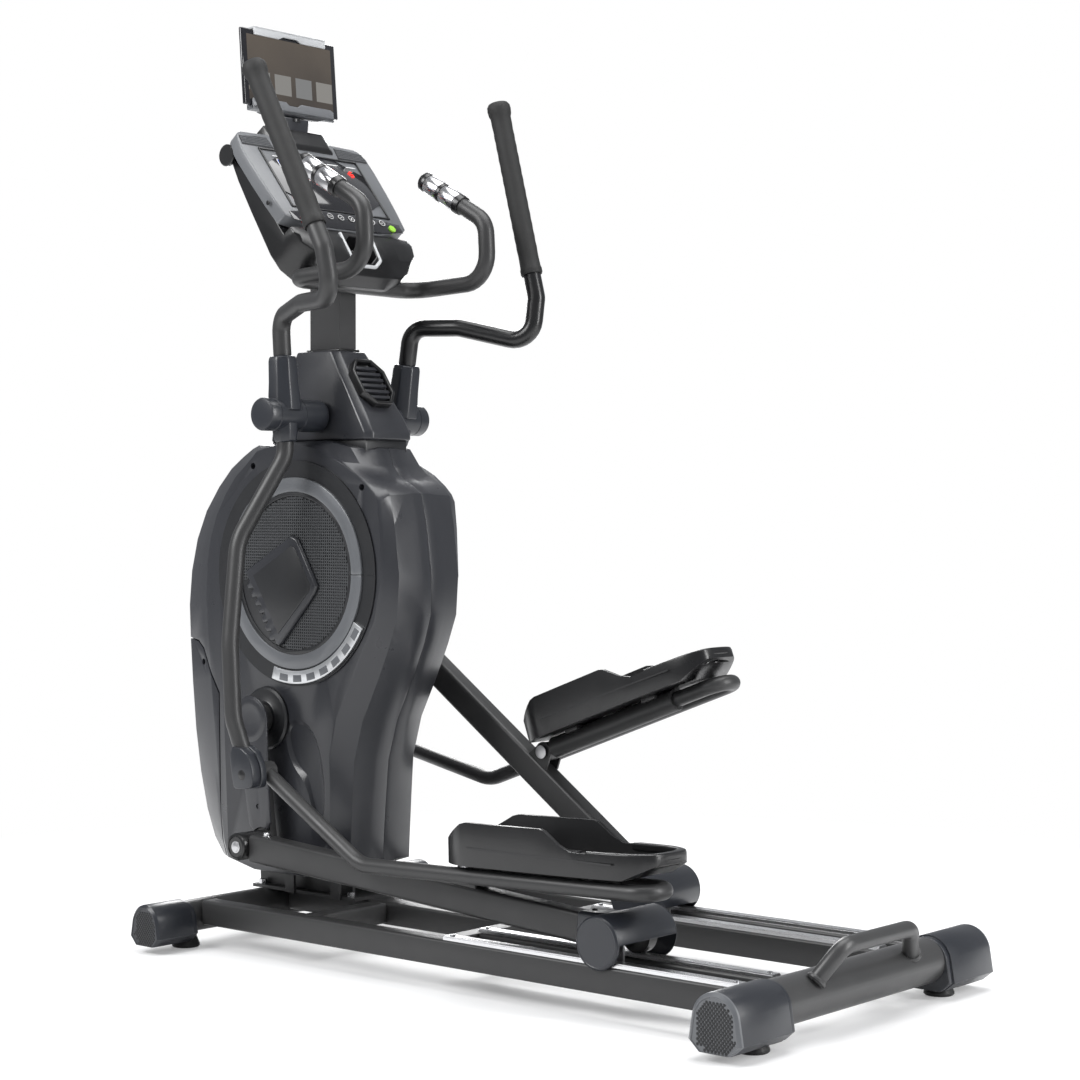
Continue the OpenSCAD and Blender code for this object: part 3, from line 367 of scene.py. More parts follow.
def stacked(name, stack):
    """Outlines in the X-Y plane, each at its own z."""
    return loft(name, [[(x, y, z) for x, y in line] for line, z in stack])


def lathe(name, profile, n=48):
    """Stacked circles along z: profile is (radius, z) from one end to the other."""
    return loft(name,
            [[(r * math.cos(2 * math.pi * k / n), r * math.sin(2 * math.pi * k / n), z) for k in range(n)]
            for r, z in profile])


def corner(a, b, c, r, n=8):
    d0, d1 = (b - a).normalized(), (c - b).normalized()
    turn = d0.angle(d1)
    side = (d1 - d0 * d0.dot(d1)).normalized()
    start = b - d0 * r * math.tan(turn / 2)
    centre = start + side * r
    angles = [turn * i / n for i in range(n + 1)]
    return [centre - side * r * math.cos(a) + d0 * r * math.sin(a) for a in angles]


def tube(name, points, bends, r, n=32, first=(0.1, 0.2, 1)):
    """A bent round tube with rounded ends."""
    p = [Vector(q) for q in points]
    path = [p[0]]
    for i in range(1, len(p) - 1):
        path += corner(p[i - 1], p[i], p[i + 1], bends[i - 1])
    path.append(p[-1])
    up = Vector(first)
    rings = []
    for i, q in enumerate(path):
        t = (path[min(i + 1, len(path) - 1)] - path[max(i - 1, 0)]).normalized()
        up = (up - t * up.dot(t)).normalized()
        w = t.cross(up)
        angles = [2 * math.pi * k / n for k in range(n)]
        rings.append([q + r * (up * math.cos(a) + w * math.sin(a)) for a in angles])
    return rounded(loft(name, rings), r * 0.12, 2, 60)


def cut(o, tool, kind="DIFFERENCE"):
    use(o, "BOOLEAN", operation=kind, object=tool, solver="EXACT")
    bpy.data.objects.remove(tool)
    return o


def grid(o, dx, dy, nx, ny, keep):
    """Copies a small block over a grid from (0, 0), and deletes the cells that keep turns down."""
    per = len(o.data.vertices)
    for count, step in ((nx, (dx, 0, 0)), (ny, (0, dy, 0))):
        use(o, "ARRAY", count=count, use_relative_offset=False, use_constant_offset=True,
                constant_offset_displace=step)
    for e in o.data.edges:
        e.select = False
    for f in o.data.polygons:
        f.select = False
    for v in o.data.vertices:
        cell = v.index // per
        v.select = not keep((cell % nx) * dx, (cell // nx) * dy)
    bpy.ops.object.mode_set(mode="EDIT")
    bpy.ops.mesh.select_mode(type="VERT")
    bpy.ops.mesh.delete(type="VERT")
    bpy.ops.object.mode_set(mode="OBJECT")
    return o


def dress(o, material, body, slot, *nodes, place=STILL, smooth=32):
    """Moves the mesh to its place, gives it its finish and lets it ride on its body."""
    only(o)
    o.data.transform(place)
    bpy.ops.object.mode_set(mode="EDIT")
    bpy.ops.mesh.select_all(action="SELECT")
    bpy.ops.mesh.normals_make_consistent(inside=False)
    bpy.ops.object.mode_set(mode="OBJECT")
    bpy.ops.object.shade_smooth_by_angle(angle=math.radians(smooth))
    o.data.materials.clear()
    o.data.materials.append(material)
    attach(o, body)
    if nodes:
        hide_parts(*nodes)
    return o


def fix(o, material, slot, *nodes, smooth=32):
    """A piece of the frame, at the place in hand."""
    return dress(o, material, "frame", slot, *nodes, place=place, smooth=smooth)


def carry(o, material, slot, *nodes, smooth=32):
    """A piece of the moving body in hand, at the place in hand."""
    return dress(o, material, body, slot, *nodes, place=place, smooth=smooth)


def inside(outline, x, y, margin=0.0):
    """Whether a point lies in a convex or star-shaped outline, at least margin from its edge."""
    hit = False
    n = len(outline)
    for i in range(n):
        (x0, y0), (x1, y1) = outline[i], outline[(i + 1) % n]
        if (y0 > y) != (y1 > y) and x < (x1 - x0) * (y - y0) / (y1 - y0) + x0:
            hit = not hit
        d = Vector((x1 - x0, y1 - y0))
        t = max(0, min(1, Vector((x - x0, y - y0)).dot(d) / max(d.length_squared, 1e-12)))
        if margin and (Vector((x0, y0)) + d * t - Vector((x, y))).length < margin:
            return False
    return hit


def bolt(name, x, z, y0, y1, r, place, body, slot="bright_steel", material=None):
    """A hex head with a chamfered crown on a washer, along y."""
    head = plate(name, arc(x, z, r, 0, 300, 5), y0, y1, r * 0.12, 2)
    dress(head, material or TURNED, body, slot, place=place)
    dress(disc(name + "_washer", x, z, r * 1.25, y0 - 0.0006, y0 + 0.001, 0.0003, 32), material or TURNED,
            body, slot, place=place)

# %% [markdown]
# ## Finishes of the model's own pieces
# The pieces that stay as they are only take a finish.

# %% Finishes
FINISH = {
    "front_stabiliser": FRAME_PAINT, "rear_stabiliser": REAR_PAINT, "levelling_feet": RUBBER,
    "track_rails": RAIL, "drive_frame": FRAME_PAINT, "crank_bearings": TURNED, "brake_coil": COPPER,
    "control_board": BOARD, "drive_belt": RUBBER, "mast": FRAME_PAINT, "pivot_axle": TURNED,
    "frame_screws": CHROME, "crank_axle": TURNED, "crank_pulley": BLACK, "flywheel": IRON,
    "left_carriage_axle": TURNED, "right_carriage_axle": TURNED, "left_rollers": BLACK,
    "right_rollers": BLACK,
    "left_crank_arm": FRAME_PAINT, "right_crank_arm": FRAME_PAINT,
    "start_button": GREEN_KEY, "stop_button": RED_KEY,
}
for node, material in FINISH.items():
    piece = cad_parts[node]
    piece.data.materials.clear()
    piece.data.materials.append(material)
print("finished", len(FINISH), "pieces of the model")

# %% [markdown]
# ## The base
# Rectangular tubes with rolled corners. Each stays inside the tube it stands for.

# %% Beams
for s, side in SIDES:
    dress(block(f"side_beam_{side}", (FRONT + 0.031, 0.2251, 0.0421), (REAR - 0.037, 0.2609, 0.0879),
            0.005), FRAME_PAINT,
            "frame", "frame_paint", *(["side_beams"] if s > 0 else []), place=at(0, 0, 0, s))
    dress(block(f"inner_beam_{side}", (FRONT + 0.6485, 0.1391, 0.0421), (REAR - 0.037, 0.1709, 0.0879),
            0.005), FRAME_PAINT,
            "frame", "frame_paint", place=at(0, 0, 0, s))
    dress(block(f"front_cross_{side}", (FRONT + 0.262, 0.0403, 0.046), (FRONT + 0.302, 0.2248, 0.084),
            0.004), FRAME_PAINT,
            "frame", "frame_paint", place=at(0, 0, 0, s))
dress(block("rear_cross", (FRONT + 0.608, -0.2248, 0.044), (FRONT + 0.6475, 0.2248, 0.086), 0.004),
        FRAME_PAINT,
        "frame", "frame_paint", "inner_frame")
dress(block("centre_beam", (FRONT + 0.031, -0.04, 0.0421), (FRONT + 0.6075, 0.04, 0.085), 0.006),
        FRAME_PAINT,
        "frame", "frame_paint", "centre_beam")
print("beams done")

# %% Carry handle
top = 0.026 + 0.076 + 0.040
back = REAR + 0.064 - 0.014
handle = tube("carry_handle", [(REAR + 0.024, -0.142, 0.088), (back, -0.098, top), (back, 0.098, top),
        (REAR + 0.024, 0.142, 0.088)], [0.034, 0.034], 0.014)
dress(handle, REAR_PAINT, "frame", "rear_paint", "carry_handle")
for y in (-0.142, 0.142):
    weld = lathe(f"handle_weld_{'l' if y < 0 else 'r'}",
            [(0.015, 0), (0.0172, 0.002), (0.0172, 0.005), (0.0148, 0.008)], 32)
    lean = Matrix.Translation((REAR + 0.025, y, 0.089)) @ Vector((0.026, -y * 0.3,
            0.054)).to_track_quat("Z", "Y").to_matrix().to_4x4()
    dress(weld, REAR_PAINT, "frame", "rear_paint", place=lean)

# %% [markdown]
# ## End caps
# A cap is a long moulding over the stabiliser's end. Its end face has a bright bevelled rim and a
# hexagon mesh set into it, and its inner end steps down towards the tube.

# %% End caps


def cap_outline(w, top):
    r = 0.44 * w
    return ([(-0.30 * w, 0.014), (0.30 * w, 0.014), (0.5 * w, 0.030)] +
            arc(0, top - r, r, 12, 168, 20) + [(-0.5 * w, 0.030)])


def end_cap(name, x, w, top, inner, nodes):
    for s, side in SIDES:
        place = at(x, 0, 0, s)
        outer = cap_outline(w, top)
        body = plate(f"{name}_{side}", outer, inner + 0.012, 0.366, 0.0)
        tool = lathe("tool", [(0.031, -0.05), (0.031, 0.026)], 40)
        tool.data.transform(Matrix.Translation((0, 0.272, 0)))
        cut(body, tool)
        rounded(body, 0.002, 2, 40)
        dress(body, CAP, "frame", "cap_plastic", *(nodes if s > 0 else []), place=place)
        small = cap_outline(w * 0.94, top - 0.003)
        dress(plate(f"{name}_step_{side}", small, inner, inner + 0.0125, 0.002), CAP, "frame",
                "cap_plastic", place=place)
        rim = loft(f"{name}_rim_{side}", [[(x, y, z) for x, z in ring] for ring, y in (
            (outer, 0.3655), (cap_outline(w * 0.985, top - 0.0005), 0.369),
            (cap_outline(w * 0.88, top - 0.0055), 0.3735),
            (cap_outline(w * 0.84, top - 0.0075), 0.3735),
            (cap_outline(w * 0.82, top - 0.0085), 0.3722))])
        dress(rim, RIM if w > 0.09 else CAP, "frame", "cap_plastic", place=place)
        face = cap_outline(w * 0.80, top - 0.0095)
        stud = loft("stud", [[(0.0026 * k * math.cos(a), 0.0026 * k * math.sin(a), z) for a in
                [math.radians(60 * i) for i in range(6)]] for k, z in ((1, -0.001), (1, 0.0006),
                (0.6, 0.0011))])
        dx, dy = 0.0066, 0.0038
        x0, y0 = -0.5 * w, 0.010
        mesh = grid(stud, dx, 2 * dy, 16, 14, lambda u, v: inside(face, u + x0, v + y0, 0.003))
        other = mesh.copy()
        other.data = mesh.data.copy()
        bpy.context.collection.objects.link(other)
        for k, (copy, du, dv) in enumerate(((mesh, 0, 0), (other, dx / 2, dy))):
            copy.name = f"{name}_mesh_{side}_{k}"
            flat = Matrix.Translation((x0 + du, 0.3722, y0 + dv)) @ LAID
            dress(copy, SHELL_DARK, "frame", "cap_plastic", place=place @ flat)


end_cap("front_cap", FRONT, 0.084, 0.090, 0.275, ["front_end_caps"])
end_cap("rear_cap", REAR, 0.100, 0.106, 0.227, ["rear_end_caps"])
print("caps done")

# %% [markdown]
# ## The shroud
# Each half is lofted from the seam, over the slanted edge, to the flat side. The flat side carries a
# split line at the front, a swept recess at the foot and a row of screw wells.

# %% Shroud
EDGE = [(-105, 125), (250, 125), (256, 230), (270, 385), (352, 545), (385, 650), (358, 845), (330, 868),
        (284, 890),
        (262, 952), (0, 952), (-40, 940), (-113, 895), (-195, 795), (-233, 660), (-228, 520), (-210, 333),
        (-165, 190)]
FLAT = [(-62, 125), (214, 125), (216, 235), (214, 400), (276, 513), (352, 650), (345, 828), (330, 856),
        (276, 896),
        (140, 951), (21, 938), (-2, 918), (-60, 872), (-112, 790), (-132, 690), (-122, 540), (-100, 350),
        (-84, 190)]
EDGE = [(FRONT + x / 1000, z / 1000) for x, z in EDGE]
FLAT = [(FRONT + x / 1000, z / 1000) for x, z in FLAT]


def blendline(p, q, f):
    return [(a[0] * (1 - f) + b[0] * f, a[1] * (1 - f) + b[1] * f) for a, b in zip(p, q)]


def smooth_line(p, rounds):
    """Cuts the corners of a closed outline."""
    for _ in range(rounds):
        q = []
        for i in range(len(p)):
            a, b = p[i], p[(i + 1) % len(p)]
            q += [(a[0] * 0.75 + b[0] * 0.25, a[1] * 0.75 + b[1] * 0.25),
                    (a[0] * 0.25 + b[0] * 0.75, a[1] * 0.25 + b[1] * 0.75)]
        p = q
    return p


def shrunk(p, d):
    cx = sum(a[0] for a in p) / len(p)
    cz = sum(a[1] for a in p) / len(p)
    out = []
    for x, z in p:
        v = Vector((x - cx, z - cz))
        v -= v.normalized() * d
        out.append((cx + v.x, cz + v.y))
    return out


edge_fine = smooth_line(EDGE, 1)
flat_fine = smooth_line(FLAT, 1)
DISC = (FRONT + 0.124, 0.700)
for s, side in SIDES:
    rings = [(edge_fine, 0.0003), (edge_fine, 0.026), (shrunk(edge_fine, 0.003), 0.040),
            (blendline(edge_fine, flat_fine, 0.22), 0.080), (blendline(edge_fine, flat_fine, 0.8), 0.098),
            (blendline(edge_fine, flat_fine, 0.96), 0.1035), (shrunk(flat_fine, 0.001), 0.105)]
    hull = layers(f"shroud_{side}", rings)
    # the swept recess at the foot of the flat side
    sweep_line = [(FRONT + x / 1000, z / 1000) for x, z in
            [(92, 418), (140, 426), (176, 400), (196, 350), (204, 290), (200, 240), (180, 225),
            (166, 262), (150, 300), (116, 330), (96, 372)]]
    tool = loft("tool",
            [[(x, y, z) for x, z in shrunk(smooth_line(sweep_line, 2), d)] for d, y in ((0.012, 0.098),
            (0.0, 0.106), (-0.002, 0.120))])
    cut(hull, tool)
    # the split between the shell and its front panel
    split = [(-230, 566), (-172, 559), (-150, 545), (-95, 460), (-91, 177), (-78, 100)]
    split = [(FRONT + x / 1000, z / 1000) for x, z in split]
    groove = split + [(x + 0.0028, z + 0.0028) for x, z in reversed(split)]
    cut(hull, loft("tool", [[(x, y, z) for x, z in groove] for y in (0.020, 0.130)]))
    cut(hull, disc("tool", CRANK[0], CRANK[1], 0.031, 0.060, 0.150))
    for x, z in ((-0.150, 0.520), (0.200, 0.520), (0.300, 0.862), (0.005, 0.905), (0.192, 0.165),
            (-0.060, 0.165)):
        cut(hull, disc("tool", FRONT + x, z, 0.0065, 0.080, 0.130, n=24))
    rounded(hull, 0.0016, 2, 30)
    dress(hull, SHELL, "frame", "shell_plastic", f"{side}_shroud", place=at(0, 0, 0, s), smooth=28)
    print("shroud", side, len(hull.data.polygons))
bead = plate("seam_bead", shrunk(edge_fine, 0.0008), -0.0011, 0.0011)
dress(bead, SHELL_DARK, "frame", "shell_plastic")

# %% [markdown]
# ## The round side cover
# From outside in: a dark groove, a pale ring, a dark step that is painted shadow where the grille meets the
# ring, the woven grille, and on it a raised lozenge plate with a saw-toothed foot. A silver arc with seven
# windows lies in the groove, low at the rear.

# %% Side cover
for s, side in SIDES:
    place = at(DISC[0], DISC[1], 0, s)
    own = ["disc_covers"] if s > 0 else []
    fix(band(f"disc_groove_{side}", 0, 0, 0.180, 0.214, 0, 359.9, 0.1052, 0.1085, 0.0, 90), SHELL_DARK,
            "disc_plastic", *own)
    fix(band(f"disc_rim_{side}", 0, 0, 0.1545, 0.182, 0, 359.9, 0.1054, 0.1128, 0.0022, 90), RIM,
            "disc_plastic")
    # The dark step is painted shadow: dark plastic where the ring's inner edge shades the grille.
    fix(band(f"painted_shadow_step_{side}", 0, 0, 0.1465, 0.1560, 0, 359.9, 0.1054, 0.1108, 0.0012, 90), SHELL_DARK,
            "disc_plastic")
    fix(disc(f"disc_floor_{side}", 0, 0, 0.148, 0.1054, 0.1072, 0.0, 90), SHELL_DARK, "disc_plastic")
    weave_r, step = 0.1485, 0.0112
    flat = Matrix.Translation((-weave_r, 0.1078, -weave_r)) @ LAID
    for k, (w, h, du, dv) in enumerate(((0.0044, 0.0013, 0, 0), (0.0013, 0.0044, step / 2, 0),
            (0.0044, 0.0013, step / 2, step / 2),
            (0.0013, 0.0044, 0, step / 2))):
        bar = block("bar", (-w, -h, -0.0007), (w, h, 0.0009), 0.0004, 1)
        bars = grid(bar, step, step, 27, 27,
                lambda u, v: math.hypot(u + du - weave_r, v + dv - weave_r) < weave_r - 0.004)
        bars.name = f"weave_{side}_{k}"
        dress(bars, WEAVE, "frame", "disc_plastic", place=place @ Matrix.Translation((du, 0, dv)) @ flat)
    fix(band(f"dark_sector_{side}", 0, 0, 0.020, 0.1475, 186, 250, 0.1076, 0.1094, 0.001, 40), SHELL_DARK,
            "disc_plastic")
    # lozenge plate with seven teeth along its lower front edge
    start, along, out = Vector((-0.118, -0.014)), Vector((0.074, -0.118)), Vector((-0.0102, -0.0064))
    teeth = []
    for i in range(7):
        for f, d in ((0.0, 0), (0.15, 1), (0.55, 1), (0.75, 0)):
            teeth.append(tuple(start + along * ((i + f) / 7) + out * d))
    outline = [(-0.132, 0.002)] + teeth + [(-0.040, -0.139), (-0.030, -0.136), (0.062, -0.036),
            (0.068, -0.022), (0.014, 0.066), (-0.002, 0.072)]
    badge = layers(f"lozenge_{side}", (
        (outline, 0.1076), (outline, 0.1130), (shrunk(outline, 0.004), 0.1168)))
    rounded(badge, 0.0012, 2, 30)
    fix(badge, BADGE, "disc_plastic")
    inner = [(-0.106, -0.006), (-0.036, -0.116), (0.048, -0.034), (0.052, -0.022), (0.010, 0.048),
            (0.000, 0.052)]
    fix(plate(f"lozenge_field_{side}", inner, 0.1150, 0.1178, 0.0009, 2), SHELL_DARK, "disc_plastic")
    # silver arc with seven windows
    silver = band(f"silver_arc_{side}", 0, 0, 0.185, 0.2095, -106, -28, 0.1084, 0.1142, 0.0008, 40)
    fix(silver, SILVER, "disc_plastic")
    for i in range(7):
        a = -100 + 10.6 * i
        w = band(f"window_{side}_{i}", 0, 0, 0.193, 0.2060, a, a + 6.2, 0.1138, 0.1149, 0.0004, 5)
        fix(w, RIM, "disc_plastic")
print("side covers done")

# %% [markdown]
# ## Cranks
# The crank arm hides behind an arched cover with two screw wells, under a round hub cover.

# %% Cranks
for s, side in SIDES:
    place = crank_place(s)
    own = ["crank_covers"] if s > 0 else []
    arch = arc(0, 0, 0.046, 0, 180, 24) + [(-0.034, -0.110), (-0.029, -0.198)] + arc(0, -0.235, 0.030,
            128, 52, 8) + [(0.029, -0.198), (0.034, -0.110)]
    cover = plate(f"crank_cover_{side}", arch, 0.1463, 0.1512, 0.0015)
    for z in (-0.075, -0.165):
        cut(cover, disc("tool", 0, z, 0.005, 0.1490, 0.16, n=24))
    dress(cover, SHELL, "crank", "shell_plastic", *own, place=place)
    hub = turned(f"hub_cover_{side}", [
        (0.045, 0.1465), (0.045, 0.1495), (0.041, 0.1520), (0.030, 0.1526), (0.026, 0.1518),
        (0.004, 0.1518)])
    dress(hub, SHELL, "crank", "shell_plastic", place=place)
    collar = turned(f"hub_collar_{side}", [
        (0.060, 0.1052), (0.060, 0.1100), (0.056, 0.1135), (0.036, 0.1160), (0.034, 0.1175)])
    dress(collar, SHELL_DARK, "frame", "shell_plastic", place=at(*CRANK, 0, s))
print("cranks done")

# %% [markdown]
# ## Roller arms
# A rectangular tube with rolled corners, a black knuckle at the crank, the bracket of the pedal and
# the plastic cover over the rollers, with its neck grown over the tube.

# %% Roller arms
for s, side in SIDES:
    place = arm_place(s)
    body = f"{side}_roller_arm"
    carry(block(f"arm_tube_{side}", (-ARM + 0.020, 0.1681, -0.0259), (-0.020, 0.2059, 0.0259), 0.007, 4),
            FRAME_PAINT, "frame_paint", f"{side}_roller_arm")
    knuckle = turned(f"knuckle_{side}", [
        (0.012, 0.1541), (0.0235, 0.1541), (0.0258, 0.1565), (0.0258, 0.2130), (0.0240, 0.2165),
        (0.0200, 0.2178), (0.0185, 0.2160), (0.003, 0.2160)], -ARM)
    carry(knuckle, BLACK, "frame_paint")
    bolt(f"knuckle_bolt_{side}", -ARM, 0, 0.2160, 0.2178, 0.009, place, body)
    crown = lathe(f"clamp_bolt_{side}",
            [(0.009, 0.0257), (0.009, 0.0270), (0.0065, 0.0272), (0.0065, 0.0320), (0.0055, 0.0330),
            (0.001, 0.0330)], 24)
    crown.data.transform(Matrix.Translation((-ARM + 0.052, 0.187, 0)))
    carry(crown, CHROME, "bright_steel")
    for k, y in enumerate((0.1682, 0.2008)):
        cheek = plate(f"cheek_{side}_{k}",
                [(-0.371, 0.0245), (-0.319, 0.0245)] + arc(-0.345, 0.050, 0.0188, 0, 180, 20), y,
                y + 0.005, 0.0008, 2)
        carry(cheek, FRAME_PAINT, "frame_paint")
    bolt(f"pedal_bolt_{side}", -0.345, 0.050, 0.2065, 0.2125, 0.0102, place, body)
    bolt(f"pedal_nut_{side}", -0.345, 0.050, 0.1620, 0.1675, 0.0100, place, body)
    # roller cover: shell, end discs, neck
    shell = plate(f"roller_shell_{side}", arc(0, 0, 0.044, 4, 214, 60) + arc(0, 0, 0.040, 214, 4, 60),
            0.1125, 0.2620, 0.0008, 2)
    carry(shell, CAP, "cap_plastic", f"{side}_roller_cover")
    for k, (y0, y1, y2) in enumerate(((0.1125, 0.1100, 0.1083), (0.2615, 0.2655, 0.2678))):
        end = turned(f"roller_end_{side}_{k}", [
            (0.0438, y0), (0.0440, (y0 + y1) / 2), (0.0432, y1), (0.0405, y2), (0.0392, y2),
            (0.0384, y2 * 0.75 + y1 * 0.25), (0.004, y2 * 0.8 + y1 * 0.2)])
        carry(end, CAP, "cap_plastic")
    neck = loft(f"roller_neck_{side}", [[(x, y, z) for y, z in line] for line, x in (
        ([(0.1630, -0.020), (0.2110, -0.020), (0.2150, -0.012), (0.2150, 0.028), (0.2080, 0.0355),
        (0.1660, 0.0355), (0.1590, 0.028), (0.1590, -0.012)], -0.030),
        ([(0.1645, -0.026), (0.2095, -0.026), (0.2125, -0.020), (0.2125, 0.026), (0.2065, 0.0320),
        (0.1675, 0.0320), (0.1615, 0.026), (0.1615, -0.020)], -0.060),
        ([(0.1655, -0.028), (0.2085, -0.028), (0.2105, -0.024), (0.2105, 0.025), (0.2060, 0.0300),
        (0.1680, 0.0300), (0.1635, 0.025), (0.1635, -0.024)], -0.086),
        ([(0.1675, -0.0265), (0.2065, -0.0265), (0.2072, -0.024), (0.2072, 0.024), (0.2050, 0.0268),
        (0.1690, 0.0268), (0.1668, 0.024), (0.1668, -0.024)], -0.090))])
    rounded(neck, 0.003, 3, 20)
    carry(neck, CAP, "cap_plastic", smooth=45)
    screw = lathe(f"neck_screw_{side}",
            [(0.0048, 0.0300), (0.0048, 0.0312), (0.0035, 0.0324), (0.0018, 0.0324), (0.0014, 0.0312),
            (0.0004, 0.0312)], 24)
    screw.data.transform(Matrix.Translation((-0.070, 0.187, 0.0016)))
    carry(screw, BLACK, "bright_steel")
print("roller arms done")

# %% [markdown]
# ## Pedals
# The pedal is a deep tray: side walls with a rounded lip, raised tread blocks, a thick glossy lip
# behind the heel and a flange under the floor. Below it run the bent tube and its support.

# %% Pedals
PEDAL_X0, PEDAL_X1, PEDAL_Y = -0.018, 0.442, 0.192


def plan(front, rear, half):
    p = [(front, -half * 0.55), (front + 0.045, -half * 0.96), (front + 0.09, -half),
            (rear - 0.07, -half), (rear - 0.012, -half * 0.7),
            (rear, -half * 0.4), (rear, half * 0.4), (rear - 0.012, half * 0.7), (rear - 0.07, half),
            (front + 0.09, half),
            (front + 0.045, half * 0.96), (front, half * 0.55)]
    return [(x, y + PEDAL_Y) for x, y in smooth_line(p, 2)]


for s, side in SIDES:
    place = pedal_place(s)
    body = f"{side}_pedal"
    tray = slab(f"pedal_{side}", plan(PEDAL_X0, PEDAL_X1, 0.075), 0.0203, 0.100)
    profile = [(-0.002, 0.0203), (0.387, 0.0203), (0.438, 0.044), (0.442, 0.058), (0.412, 0.060),
            (0.287, 0.060), (0.262, 0.070), (0.232, 0.091),
            (0.222, 0.094), (0.056, 0.094), (0.044, 0.091), (-0.014, 0.055), (-0.018, 0.048)]
    cut(tray, plate("tool", profile, 0.10, 0.30), "INTERSECT")
    cut(tray, slab("tool", plan(PEDAL_X0 + 0.008, PEDAL_X1 - 0.010, 0.067), 0.038, 0.20))
    rounded(tray, 0.0022, 3, 35)
    carry(tray, BLACK, "pedal_plastic", f"{side}_pedal", smooth=38)
    well = plan(PEDAL_X0 + 0.014, PEDAL_X1 - 0.018, 0.061)
    tread = block("tread", (-0.0165, -0.0085, -0.001), (0.0165, 0.0085, 0.0045), 0.0014, 2)
    x0, y0 = PEDAL_X0 + 0.040, PEDAL_Y - 0.048
    treads = grid(tread, 0.042, 0.024, 10, 5, lambda u, v: inside(well, u + x0, v + y0, 0.008))
    treads.name = f"treads_{side}"
    treads.data.transform(Matrix.Translation((x0, y0, 0.0385)))
    carry(treads, TREAD, "pedal_plastic")
    rib = block("rib", (-0.0016, -0.054, -0.001), (0.0016, 0.054, 0.0024), 0.0006, 2)
    ribs = grid(rib, 0.021, 1, 18, 1, lambda u, v: 0.02 < u < 0.36)
    ribs.name = f"tread_ribs_{side}"
    ribs.data.transform(Matrix.Translation((PEDAL_X0 + 0.03, PEDAL_Y, 0.0385)))
    carry(ribs, TREAD, "pedal_plastic")
    lip_out = [p for p in plan(PEDAL_X0, PEDAL_X1 - 0.0005, 0.0745) if p[0] > 0.275]
    lip_in = [p for p in plan(PEDAL_X0, PEDAL_X1 - 0.015, 0.0615) if p[0] > 0.275]
    lip_out.sort(key=lambda p: math.atan2(p[1] - PEDAL_Y, p[0] - 0.275))
    lip_in.sort(key=lambda p: -math.atan2(p[1] - PEDAL_Y, p[0] - 0.275))
    lip = slab(f"heel_lip_{side}", lip_out + lip_in, 0.050, 0.0632, 0.003, 4)
    carry(lip, BLACK, "pedal_plastic", smooth=50)
    for k, y in enumerate((PEDAL_Y - 0.0752, PEDAL_Y + 0.0746)):
        line = [(0.060, 0.050), (0.372, 0.044), (0.372, 0.0468), (0.060, 0.0535)]
        carry(plate(f"side_groove_{side}_{k}", line, y, y + 0.0006), TREAD, "pedal_plastic")
    # bent tube, support tube with its end disc, pivot sleeve
    frame_tube = tube(f"pedal_tube_{side}",
            [(0.326, 0.176, 0), (0.426, 0.176, 0), (0.426, 0.244, 0), (-0.213, 0.244, 0),
            (-0.4566, 0.244, 0.1545)],
            [0.033, 0.033, 0.080], 0.014)
    carry(frame_tube, FRAME_PAINT, "frame_paint", f"{side}_pedal_frame")
    support = lathe(f"support_{side}",
            [(0.012, 0.0), (0.0190, 0.0), (0.0200, 0.0012), (0.0200, 0.3020), (0.0190, 0.3038),
            (0.0150, 0.3040)], 48)
    support.data.transform(Matrix.Translation((0.026, 0.176, 0)) @ Matrix.Rotation(math.pi / 2, 4, "Y"))
    carry(support, FRAME_PAINT, "frame_paint")
    sleeve = turned(f"pivot_sleeve_{side}", [
        (0.0175, 0.1738), (0.0180, 0.1745), (0.0180, 0.1995), (0.0175, 0.2002)], 0, 0, 352, 44)
    carry(sleeve, FRAME_PAINT, "frame_paint")
    carry(block(f"pivot_bridge_{side}", (0.004, 0.175, -0.012), (0.034, 0.199, 0.012), 0.003),
            FRAME_PAINT, "frame_paint")
    for k, x in enumerate((0.080, 0.270)):
        foot = block(f"pedal_bracket_{side}_{k}", (x, 0.150, 0.0125), (x + 0.030, 0.236, 0.0205), 0.0012,
                2)
        carry(foot, FRAME_PAINT, "frame_paint")
    boss = turned(f"link_boss_{side}", [
        (0.0168, 0.2282), (0.0178, 0.2292), (0.0178, 0.2572), (0.0168, 0.2583)], -0.4566, 0.1545, 352, 44)
    carry(boss, FRAME_PAINT, "frame_paint")
print("pedals done")

# %% [markdown]
# ## Swing arms
# Upper and lower tube, the pivot housing with its eight-sided collar, the foam grip with its
# mushroom end, and the two-part cover of the lower joint.

